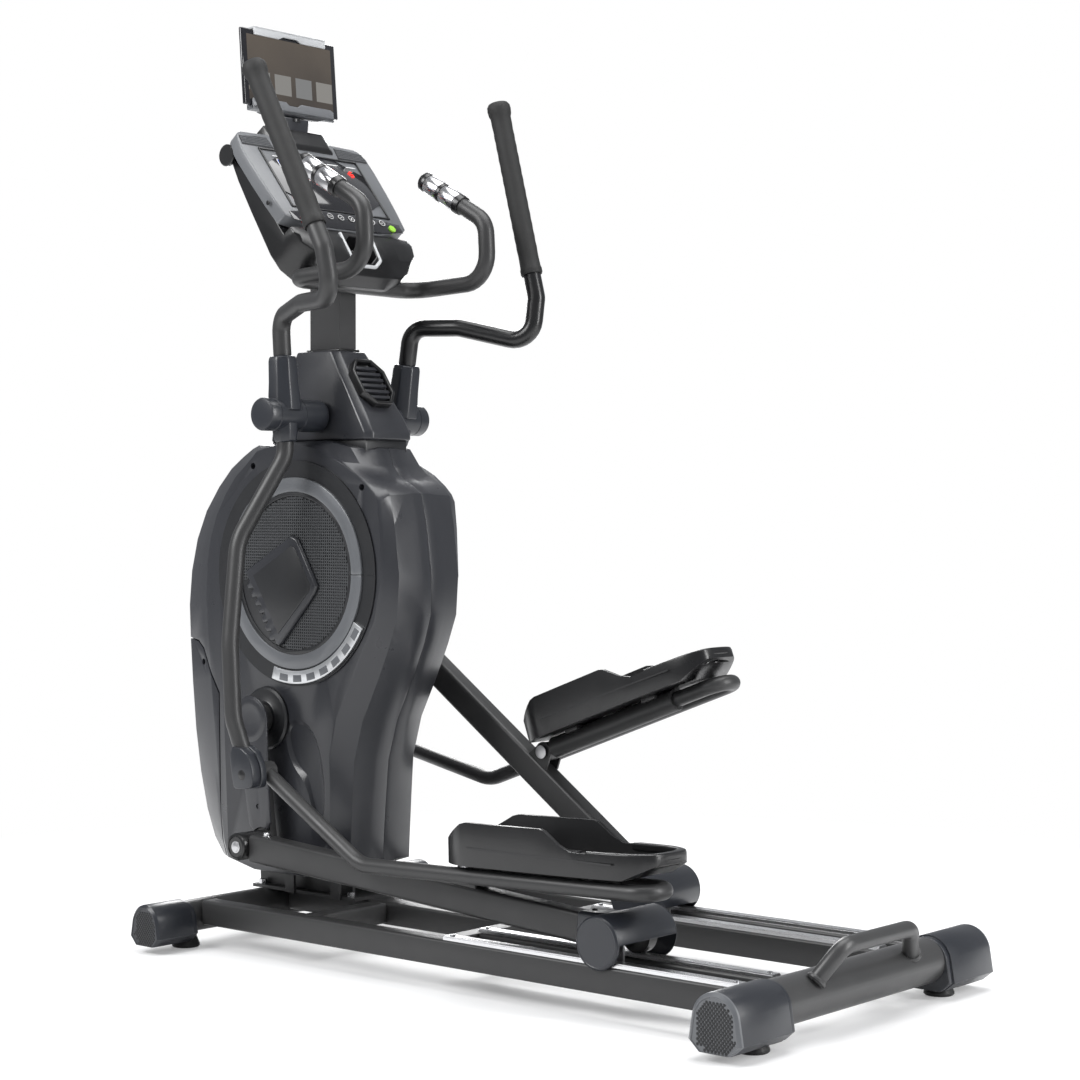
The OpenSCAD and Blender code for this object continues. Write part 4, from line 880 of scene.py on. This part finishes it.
# %% Swing arms
GRIP_FOOT, GRIP_HEAD = Vector((0.222, 0, 0.292)), Vector((0.072, 0, 0.628))
for s, side in SIDES:
    place = swing_place(s)
    body = f"{side}_swing"
    upper = tube(f"handle_tube_{side}",
            [(0.004, 0.155, 0.02), (0.004, 0.155, 0.182), (0.098, 0.190, 0.196), (0.238, 0.249, 0.184),
            (0.230, 0.255, 0.274), (0.076, 0.255, 0.620)], [0.034, 0.060, 0.040, 0.030], 0.017,
            first=(1, 0.1, 0))
    # The far right tube takes black plastic instead of the frame paint: painted shade on the far side.
    carry(upper, FRAME_PAINT if s < 0 else BLACK, "frame_paint", f"{side}_swing_arm")
    lower = tube(f"lower_tube_{side}",
            [(0.002, 0.155, -0.02), (0.0, 0.157, -0.078), (-0.055, 0.2354, -0.232),
            (-0.052, 0.2694, -0.420),
            (-0.046, 0.2754, -0.560), (-0.010, 0.2754, -0.655)], [0.060, 0.120, 0.200, 0.090], 0.016,
            first=(1, 0.1, 0))
    carry(lower, FRAME_PAINT, "frame_paint")
    axis = (GRIP_HEAD - GRIP_FOOT).normalized()
    rest = Matrix.Translation(GRIP_HEAD + Vector((0, 0.255, 0))) @ axis.to_track_quat("Z",
            "Y").to_matrix().to_4x4()
    profile = [(0.0172, -0.340), (0.0200, -0.342), (0.0212, -0.339), (0.0212, -0.331), (0.0200, -0.327),
            (0.0194, -0.310)]
    profile += [(0.0194 + 0.0006 * (i % 2), -0.30 + 0.0115 * i) for i in range(24)]
    profile += [(0.0200, -0.020), (0.0222, -0.014), (0.0232, -0.004), (0.0226, 0.003), (0.0195, 0.008),
            (0.0130, 0.0100), (0.0030, 0.0104)]
    grip = lathe(f"grip_{side}", profile, 48)
    dress(grip, FOAM, body, "foam", f"{side}_grip", place=place @ rest, smooth=60)
    housing = turned(f"pivot_housing_{side}", [
        (0.020, 0.0662), (0.0295, 0.0662), (0.0308, 0.0680), (0.0308, 0.1230), (0.0300, 0.1236),
        (0.0300, 0.1246), (0.0308, 0.1252), (0.0308, 0.1860),
        (0.0300, 0.1866), (0.0300, 0.1876), (0.0308, 0.1882), (0.0308, 0.2085), (0.0290, 0.2115),
        (0.0240, 0.2128), (0.004, 0.2128)])
    carry(housing, CAP, "cap_plastic", f"{side}_swing_covers")
    ring = [math.radians(22.5 + 45 * i) for i in range(8)]
    collar = loft(f"collar_{side}",
            [[(0.004 + r * math.cos(a), 0.155 + r * math.sin(a), z) for a in ring] for r, z in (
        (0.0335, 0.006), (0.0325, 0.030), (0.0300, 0.060), (0.0285, 0.100), (0.0265, 0.1085),
        (0.0200, 0.1098))])
    rounded(collar, 0.003, 3, 20)
    carry(collar, CAP, "cap_plastic", smooth=40)
    stem = loft(f"stem_{side}",
            [[(0.002 + r * math.cos(a), 0.1555 + r * math.sin(a), z) for a in ring] for r, z in (
        (0.0260, -0.010), (0.0250, -0.034), (0.0215, -0.050), (0.0180, -0.052))])
    rounded(stem, 0.003, 3, 20)
    carry(stem, CAP, "cap_plastic", smooth=40)
    low = swing_place(s) @ Matrix.Translation((-0.008, 0, -0.662))
    shoe = [(-0.026, -0.020), (-0.020, -0.026), (0.022, -0.026), (0.030, -0.016), (0.030, 0.014),
            (0.012, 0.050), (-0.034, 0.056)]
    dress(plate(f"joint_shoe_{side}", smooth_line(shoe, 1), 0.2606, 0.2750, 0.003), CAP, body,
            "cap_plastic", place=low, smooth=45)
    dress(plate(f"joint_cap_{side}", smooth_line([(x * 0.96, z * 0.96) for x, z in shoe], 1), 0.2756,
            0.2962, 0.004), CAP, body, "cap_plastic", place=low, smooth=45)
    bolt(f"joint_bolt_{side}", 0, 0, 0.2955, 0.2968, 0.0075, low, body, material=BLACK)
print("swing arms done")

# %% [markdown]
# ## Mast cover and tray
# A faceted cowl. Its rear slope carries a framed tray with steps across it.

# %% Mast cover


def cowl_ring(x0, x1, w, z, cut_off=0.012):
    p = [(x0 + cut_off, -w), (x1 - cut_off, -w), (x1, -w + cut_off), (x1, w - cut_off), (x1 - cut_off, w),
            (x0 + cut_off, w),
            (x0, w - cut_off), (x0, -w + cut_off)]
    return [(FRONT + x, y, z) for x, y in p]


cowl = loft("cowl",
        [cowl_ring(0.0, 0.276, 0.062, 0.9524), cowl_ring(0.002, 0.276, 0.062, 0.966),
        cowl_ring(0.012, 0.262, 0.0615, 0.990),
        cowl_ring(0.022, 0.2480, 0.059, 1.010), cowl_ring(0.052, 0.1780, 0.048, 1.112),
        cowl_ring(0.056, 0.170, 0.046, 1.1235),
        cowl_ring(0.062, 0.164, 0.040, 1.1240)])
rounded(cowl, 0.003, 3, 12)
dress(cowl, SHELL, "frame", "shell_plastic", "mast_cover", smooth=30)
neck = block("cowl_neck", (FRONT + 0.006, -0.056, 0.925), (FRONT + 0.262, 0.056, 0.9540), 0.004, 2)
dress(neck, SHELL_DARK, "frame", "shell_plastic")
dress(block("cowl_seam", (FRONT + 0.004, -0.0008, 0.958), (FRONT + 0.0272, 0.0008, 1.01), 0.0003, 1),
        SHELL_DARK, "frame", "shell_plastic")
slope = math.degrees(math.atan2(1.124 - 0.988, 0.262 - 0.170))
tray_place = at(FRONT + 0.216, 1.056, slope)
outline = smooth_line([(-0.052, -0.042), (0.052, -0.042), (0.052, 0.042), (-0.052, 0.042)], 1)
tray = slab("tray", outline, 0.0003, 0.0163)
cut(tray, slab("tool", [(x * 0.88, y * 0.86) for x, y in outline], 0.004, 0.05))
rounded(tray, 0.0016, 2, 30)
dress(tray, BLACK, "frame", "black_plastic", "accessory_tray", place=tray_place)
step_bar = block("steps", (-0.0035, -0.033, -0.001), (0.0035, 0.033, 0.0075), 0.0012, 2)
steps = grid(step_bar, 0.0135, 1, 6, 1, lambda u, v: True)
steps.name = "tray_steps"
steps.data.transform(Matrix.Translation((-0.034, 0, 0.004)))
dress(steps, SHELL, "frame", "black_plastic", place=tray_place)
collar = block("mast_collar", (FRONT + 0.072, -0.028, 1.1225), (FRONT + 0.164, 0.028, 1.1290), 0.003)
dress(collar, BLACK, "frame", "shell_plastic")
print("mast cover done")

# %% [markdown]
# ## Console
# A silver-grey slab leaning towards the user, with speaker meshes in its upper corners, a black
# display, a strip of round keys and a dark belly with a phone pocket below.

# %% Console
place = at(FRONT + 0.020, 1.545, 51.7)
face = smooth_line([(0, -0.147), (0.010, -0.165), (0.034, -0.175), (0.150, -0.171), (0.244, -0.159),
        (0.244, 0.159), (0.150, 0.171), (0.034, 0.175),
        (0.010, 0.165), (0, 0.147)], 1)
fix(slab("console_face", face, -0.028, 0.0, 0.003, 3), GREY, "grey_plastic", "console_front")
hump = stacked("console_hump", (
    ([(-0.023, -0.082), (0.034, -0.082), (0.034, 0.082), (-0.023, 0.082)], -0.026),
    ([(-0.023, -0.080), (0.030, -0.078), (0.030, 0.078), (-0.023, 0.080)], 0.003),
    ([(-0.018, -0.070), (0.022, -0.066), (0.022, 0.066), (-0.018, 0.070)], 0.0078)))
rounded(hump, 0.003, 3, 20)
fix(hump, BLACK, "black_plastic", smooth=40)
for s, side in SIDES:
    corner_line = [(0.010, 0.090), (0.040, 0.086), (0.040, 0.168), (0.016, 0.164)]
    well = slab(f"speaker_{side}", corner_line, 0.0001, 0.0009, 0.0004, 1)
    dress(well, SHELL_DARK, "frame", "grey_plastic", place=place @ at(0, 0, 0, s))
    stud = loft("stud",
            [[(0.0021 * k * math.cos(a), 0.0013 * k * math.sin(a),
            z) for a in [math.radians(90 * i) for i in range(4)]]
            for k, z in ((1, 0), (0.7, 0.0009))])
    mesh = grid(stud, 0.0044, 0.0030, 8, 29,
            lambda u, v: inside(corner_line, u + 0.009, v + 0.084, 0.002))
    mesh.name = f"speaker_mesh_{side}"
    mesh.data.transform(Matrix.Translation((0.009, 0.084, 0.0008)))
    dress(mesh, GREY, "frame", "grey_plastic", place=place @ at(0, 0, 0, s))
fix(slab("display", smooth_line([(0.046, -0.128), (0.196, -0.128), (0.196, 0.128), (0.046, 0.128)], 1),
        0.0003, 0.0023, 0.0007, 2), GLASS, "window", "display_window")
for k, (x0, y0, x1, y1) in enumerate(((0.044, -0.131, 0.0475, 0.131), (0.1945, -0.131, 0.198, 0.131),
        (0.044, -0.131, 0.198, -0.1275), (0.044, 0.1275, 0.198, 0.131))):
    fix(block(f"display_frame_{k}", (x0, y0, 0.0001), (x1, y1, 0.0030), 0.0008, 2), BLACK, "window")

SEGMENTS = {"0": "abcdef", "1": "bc", "2": "abged", "5": "afgcd", "8": "abcdefg"}


def digits(name, text, x, y, h):
    """Seven-segment digits: x runs down the face and y to the right, h is the height of a digit."""
    w, t = h * 0.55, h * 0.10
    bars = {"a": (0, 0, t, w), "g": (h / 2 - t / 2, 0, h / 2 + t / 2, w), "d": (h - t, 0, h, w),
            "f": (0, 0, h / 2, t), "b": (0, w - t, h / 2, w),
            "e": (h / 2, 0, h, t), "c": (h / 2, w - t, h, w)}
    for i, char in enumerate(text):
        for seg in SEGMENTS[char]:
            a, b, c, d = bars[seg]
            m = t * 0.12
            yo = y + i * h * 0.8
            piece = block(f"{name}_{i}{seg}", (x + a + m, yo + b + m, 0.0022),
                    (x + c - m, yo + d - m, 0.0026), 0.0001, 1)
            fix(piece, RED_GLOW, "window")


digits("time", "200", 0.160, -0.112, 0.017)
digits("rate", "8", 0.075, 0.040, 0.014)
digits("speed", "10", 0.156, 0.060, 0.017)
digits("level", "5", 0.075, 0.092, 0.014)
fix(block("inset_field", (0.072, -0.098, 0.0021), (0.118, -0.040, 0.0025), 0.0002, 1), BLUE_GLOW,
        "window")
for k, (x0, y0, x1, y1) in enumerate(((0.070, -0.100, 0.0715, -0.038), (0.1185, -0.100, 0.120, -0.038),
        (0.070, -0.100, 0.120, -0.0985), (0.070, -0.0395, 0.120, -0.038))):
    fix(block(f"inset_line_{k}", (x0, y0, 0.0022), (x1, y1, 0.0027), 0.0001, 1), WHITE_PRINT, "window")
for k, (x, y) in enumerate(((0.062, -0.105), (0.062, 0.040), (0.062, 0.092), (0.146, -0.105),
        (0.146, 0.060), (0.186, -0.100), (0.186, 0.060))):
    fix(block(f"print_{k}", (x, y, 0.0022), (x + 0.0018, y + 0.026, 0.0025), 0.0001, 1), WHITE_PRINT,
            "window")
strip = slab("key_strip",
        smooth_line([(0.201, -0.148), (0.243, -0.146), (0.243, 0.146), (0.201, 0.148)], 1), 0.0003,
        0.0019, 0.0006, 2)
for y in (-0.118, 0.118):
    tool = lathe("tool", [(0.0085, -0.01), (0.0085, 0.02)], 32)
    tool.data.transform(Matrix.Translation((0.226, y, 0)))
    cut(strip, tool)
fix(strip, GLASS, "window", "keypad")
for k in range(8):
    y = -0.098 + k * 0.028
    key = lathe(f"key_{k}",
            [(0.0078, 0.0018), (0.0078, 0.0029), (0.0070, 0.0034), (0.0062, 0.0031), (0.0010, 0.0031)],
            32)
    dress(key, BLACK, "frame", "window", place=place @ Matrix.Translation((0.213, y, 0)))
    ring = loft(f"key_ring_{k}",
            [[(x, yy, z) for x, yy in arc(0, 0, 0.0070, 0, 359.9, 40) + arc(0, 0, 0.0062, 359.9, 0,
            40)] for z in (0.0031, 0.0036)])
    dress(ring, WHITE_PRINT, "frame", "window", place=place @ Matrix.Translation((0.213, y, 0)))
    mark = block(f"key_mark_{k}", (-0.0024, -0.0006, 0.003), (0.0024, 0.0006, 0.0035), 0.0001, 1)
    dress(mark, WHITE_PRINT, "frame", "window",
            place=place @ Matrix.Translation((0.213, y, 0)) @ Matrix.Rotation(0.7 * k, 4, "Z"))

# belly: lofted across y from the left cheek to the right one
belly_line = [(16, -28.3), (20, -50), (80, -66), (150, -78), (250, -92), (310, -90), (338, -74),
        (345, -48), (338, -24), (306, -4), (268, 1), (244.6, -2), (244.6, -28.3)]
belly_line = [(x / 1000, z / 1000) for x, z in belly_line]


def belly_ring(y, k, end):
    """The belly's outline at y, pulled in towards the console's face by k and cut off at end."""
    out = []
    for x, z in belly_line:
        x = min(x, end)
        out.append((x, y, -0.0283 + (z + 0.0283) * k if x > 0.0 else z))
    return out


stations = [(-0.159, 0.80, 0.262), (-0.150, 0.90, 0.286), (-0.125, 0.96, 0.318), (-0.095, 1.0, 0.336),
        (-0.06, 1.0, 0.345), (0.06, 1.0, 0.345),
        (0.095, 1.0, 0.336), (0.125, 0.96, 0.318), (0.150, 0.90, 0.286), (0.159, 0.80, 0.262)]
belly = loft("console_belly", [belly_ring(*row) for row in stations])
pocket = slab("tool", smooth_line([(0.258, -0.036), (0.316, -0.032), (0.316, 0.032), (0.258, 0.036)], 1),
        -0.036, 0.05)
cut(belly, pocket)
rounded(belly, 0.004, 3, 30)
fix(belly, BLACK, "black_plastic", "console_back", smooth=40)
trim = tube("pocket_trim",
        [(0.254, -0.041, 0.001), (0.312, -0.038, -0.006), (0.324, -0.022, -0.012), (0.324, 0.022, -0.012),
        (0.312, 0.038, -0.006), (0.254, 0.041, 0.001)],
        [0.006, 0.010, 0.010, 0.006], 0.0035, 16)
fix(trim, PALE, "black_plastic")
knob = loft("side_knob", [[(x, y, z) for x, z in arc(0.030, -0.042, r, 0, 350, 35)] for r, y in (
    (0.012, -0.150), (0.012, -0.163), (0.020, -0.165), (0.021, -0.172), (0.019, -0.174),
    (0.004, -0.174))])
fix(knob, BLACK, "black_plastic")
for k, x in enumerate((0.060, 0.180)):
    for y in (-0.172, 0.1715):
        fix(disc(f"console_screw_{k}_{'l' if y < 0 else 'r'}", x, -0.014, 0.0045, y - 0.0006, y + 0.0004,
                0.0003, 24), BLACK, "grey_plastic")
print("console done")

# %% [markdown]
# ## Pulse handlebar
# One tube bent to two horns, each with two chrome plates between black rings.

# %% Pulse handlebar
BAR_X = FRONT + 0.118 + 0.040 + 0.016 + 0.0002
half = [(BAR_X, 0.165, 1.250), (FRONT + 0.372, 0.165, 1.258), (FRONT + 0.366, 0.165, 1.372),
        (FRONT + 0.2135, 0.165, 1.460)]
other = [(x, -y, z) for x, y, z in reversed(half)]
bar = tube("pulse_tube", other + half, [0.045, 0.055, 0.044, 0.044, 0.055, 0.045], 0.016,
        first=(0.2, 1, 0.1))
dress(bar, FRAME_PAINT, "frame", "frame_paint", "pulse_bar")
foot, head = Vector((FRONT + 0.366, 0, 1.372)), Vector((FRONT + 0.210, 0, 1.462))
axis = (head - foot).normalized()
for s, side in SIDES:
    rest = Matrix.Translation(head + Vector((0, s * 0.165, 0))) @ axis.to_track_quat("Z",
            "Y").to_matrix().to_4x4()
    own = {0: ["pulse_grips"], 2: ["pulse_sensors"]} if s > 0 else {}
    shapes = [
        (BLACK, [(0.0165, -0.0098), (0.0196, -0.0098), (0.0200, -0.006), (0.0198, 0.002),
        (0.0170, 0.0058), (0.004, 0.0060)], "foam"),
        (BLACK, [(0.0165, -0.056), (0.0200, -0.056), (0.0202, -0.052), (0.0200, -0.048),
        (0.0165, -0.048)], "foam"),
        (CHROME,
        [(0.0165, -0.0477), (0.0188, -0.0477), (0.0194, -0.0465), (0.0194, -0.0115), (0.0188, -0.0102),
        (0.0165, -0.0102)], "bright_steel"),
        (CHROME,
        [(0.0165, -0.0977), (0.0188, -0.0977), (0.0194, -0.0965), (0.0194, -0.0575), (0.0188, -0.0562),
        (0.0165, -0.0562)], "bright_steel"),
        (BLACK, [(0.0165, -0.112), (0.0190, -0.111), (0.0200, -0.106), (0.0200, -0.098),
        (0.0165, -0.098)], "foam"),
    ]
    for k, (material, profile, slot) in enumerate(shapes):
        dress(lathe(f"pulse_{side}_{k}", profile, 48), material, "frame", slot, *own.get(k, []),
                place=rest, smooth=50)
print("pulse bar done")

# %% [markdown]
# ## Tablet and its holder
# The tablet stands in a tray lip and is held down by a sprung clip with a wave in its middle. The
# screen shows a plain dusk picture with a row of tiles, made from formulas.

# %% Tablet
place = at(FRONT + 0.006, 1.600, -4.5)
t = Tree("tablet picture")
across, up = t.axis("Y"), t.axis("Z")
height = (up - 1.60) / 0.15
sky = t.mix(t.noise(9, 4) * 0.5 + height * 0.6, (0.02, 0.012, 0.010), (0.20, 0.16, 0.12))
tile = ((across * 18 + 9.0).op("FRACT") > 0.22) * ((height < 0.46) * (height > 0.20))
pick = t.node("ShaderNodeTexWhiteNoise", "Value", {"W": (across * 18 + 9.0).op("FLOOR")},
        noise_dimensions="1D")
tint = t.mix(pick, (0.10, 0.16, 0.24), (0.55, 0.50, 0.42))
mixed = t.node("ShaderNodeMix", 2, {0: tile, 6: sky, 7: tint}, data_type="RGBA")
t.set(Base_Color=(0.01, 0.01, 0.01, 1), Roughness=0.12, Emission_Color=mixed, Emission_Strength=0.55,
        Coat_Weight=0.5)
PICTURE = t.material
shape = [(-0.125, 0.0003), (0.125, 0.0003), (0.125, 0.1503), (-0.125, 0.1503)]


def yz_plate(name, outline, x0, x1, edge=0.0, segments=2):
    o = loft(name, [[(x, y, z) for y, z in outline] for x in (x0, x1)])
    return rounded(o, edge, segments) if edge else o


fix(yz_plate("tablet_body", shape, -0.0078, -0.0002, 0.0026, 3), GLASS, "screen_glass", "tablet",
        smooth=40)
fix(yz_plate("tablet_screen", [(-0.112, 0.012), (0.112, 0.012), (0.112, 0.139), (-0.112, 0.139)], -0.0004,
        0.0002, 0.0001, 1), PICTURE, "screen_glass")
back = yz_plate("holder_back",
        [(-0.108, -0.006), (0.108, -0.006), (0.108, 0.120), (0.085, 0.144), (-0.085, 0.144),
        (-0.108, 0.120)], -0.0143, -0.0083, 0.0015)
for k in range(4):
    y = -0.066 + 0.044 * k
    tool = loft("tool",
            [[(x, y + a, 0.070 + b) for a, b in ((-0.014, -0.032), (0.014, -0.032), (0.014, 0.032),
            (-0.014, 0.032))] for x in (-0.05, -0.0115)])
    cut(back, tool)
fix(back, GREY, "holder_plastic", "tablet_holder")
lip = yz_plate("holder_lip",
        [(-0.108, -0.008), (0.108, -0.008), (0.108, 0.012), (0.100, 0.016), (0.020, 0.016),
        (0.012, 0.010), (-0.012, 0.010), (-0.020, 0.016),
        (-0.100, 0.016), (-0.108, 0.012)], 0.0005, 0.0053, 0.0014)
fix(lip, GREY, "holder_plastic")
fix(block("holder_floor", (-0.0143, -0.108, -0.008), (0.0053, 0.108, 0.0), 0.0012, 2), GREY,
        "holder_plastic")
base = stacked("holder_base", (
    ([(-0.020, -0.080), (0.010, -0.080), (0.010, 0.080), (-0.020, 0.080)], -0.0075),
    ([(-0.018, -0.064), (0.006, -0.064), (0.006, 0.064), (-0.018, 0.064)], -0.0118)))
rounded(base, 0.001, 2, 20)
fix(base, SHELL, "holder_plastic")
clip_line = [(-0.095, 0.1385), (-0.030, 0.1385), (-0.018, 0.1440), (0.018, 0.1440), (0.030, 0.1385),
        (0.095, 0.1385), (0.095, 0.1545), (-0.095, 0.1545)]
dress(yz_plate("clip_front", clip_line, 0.0004, 0.0050, 0.0012), PALE, "tablet_clip", "clip_plastic",
        "tablet_clip", place=place)
dress(block("clip_top", (-0.0195, -0.095, 0.1507), (0.0050, 0.095, 0.1555), 0.0012, 2), PALE,
        "tablet_clip", "clip_plastic", place=place)
dress(block("clip_tongue", (-0.0199, -0.040, 0.0905), (-0.0161, 0.040, 0.1512), 0.0010, 2), PALE,
        "tablet_clip", "clip_plastic", place=place)
arm_line = [(-34, 1507), (-4, 1517), (6, 1538), (9, 1560), (12, 1586.4), (-14, 1586.4), (-22, 1566),
        (-27, 1548)]
neck = plate("tablet_neck", [(FRONT + 0.006 + x / 1000, z / 1000) for x, z in arm_line], -0.034, 0.034,
        0.004)
dress(neck, SHELL, "frame", "holder_plastic", "tablet_neck", smooth=45)
dress(lathe("neck_ring", [(0.010, 0), (0.0165, 0.0005), (0.0165, 0.006), (0.012, 0.0075)], 32), BLACK,
        "frame", "holder_plastic",
        place=Matrix.Translation((FRONT + 0.005, 0, 1.5790)))
print("tablet done")

# %% [markdown]
# ## Studio
# A pale floor, a large soft key from the upper left, a strip from the right and a white background.

# %% Studio
bpy.ops.object.select_all(action="DESELECT")
bpy.ops.mesh.primitive_plane_add(size=40, location=(0, 0, -0.0005))
floor = bpy.context.object
floor.name = "floor"
t = Tree("floor")
t.set(Base_Color=t.mix(t.noise(2), (0.90, 0.90, 0.90), (0.93, 0.93, 0.93)), Roughness=0.9)
lit = t.node("ShaderNodeLightPath", "Is Camera Ray")
glow = t.nodes.new("ShaderNodeEmission")
glow.inputs["Color"].default_value = (1, 1, 1, 1)
blend = t.nodes.new("ShaderNodeMixShader")
far = t.node("ShaderNodeVectorMath", "Value", {0: t.coords()}, operation="LENGTH")
share = ((far - 0.95) / 1.1).op("MAXIMUM", 0.0).op("MINIMUM", 1.0)
t.links.new((lit * (share * 0.75 + 0.25)).socket, blend.inputs[0])
t.links.new(t.shader.outputs[0], blend.inputs[1])
t.links.new(glow.outputs[0], blend.inputs[2])
t.links.new(blend.outputs[0], t.nodes["Material Output"].inputs["Surface"])
floor.data.materials.append(t.material)


def lamp(name, location, size, power, target=(0.0, 0, 0.7)):
    bpy.ops.object.light_add(type="AREA", location=location)
    o = bpy.context.object
    o.name = name
    o.data.shape = "RECTANGLE"
    o.data.size, o.data.size_y = size
    o.data.energy = power
    o.rotation_euler = (Vector(target) - Vector(location)).to_track_quat("-Z", "Y").to_euler()


lamp("key", (-1.6, -3.6, 3.4), (2.6, 2.2), 190)
lamp("top", (0.4, 0.2, 4.2), (3.0, 3.0), 130)
lamp("strip", (3.4, 0.8, 1.8), (0.8, 2.8), 95)
lamp("rim", (-2.6, 2.4, 2.2), (1.4, 2.4), 90)

world = bpy.data.worlds.new("studio")
bpy.context.scene.world = world
world.use_nodes = True
nodes, links = world.node_tree.nodes, world.node_tree.links
seen = nodes.new("ShaderNodeLightPath")
white = nodes.new("ShaderNodeBackground")
white.inputs["Color"].default_value = (1, 1, 1, 1)
white.inputs["Strength"].default_value = 1.0
room = nodes["Background"]
room.inputs["Color"].default_value = (0.80, 0.82, 0.86, 1)
room.inputs["Strength"].default_value = 0.42
both = nodes.new("ShaderNodeMixShader")
links.new(seen.outputs["Is Camera Ray"], both.inputs[0])
links.new(room.outputs[0], both.inputs[1])
links.new(white.outputs[0], both.inputs[2])
links.new(both.outputs[0], nodes["World Output"].inputs["Surface"])

bpy.ops.object.camera_add(location=(2.7395, -3.116, 0.82),
        rotation=(math.radians(89.25), 0, math.radians(40.5)))
camera = bpy.context.object
camera.data.lens = 76.53
camera.data.sensor_width = 36
bpy.context.scene.camera = camera
bpy.context.scene.view_settings.view_transform = "Standard"
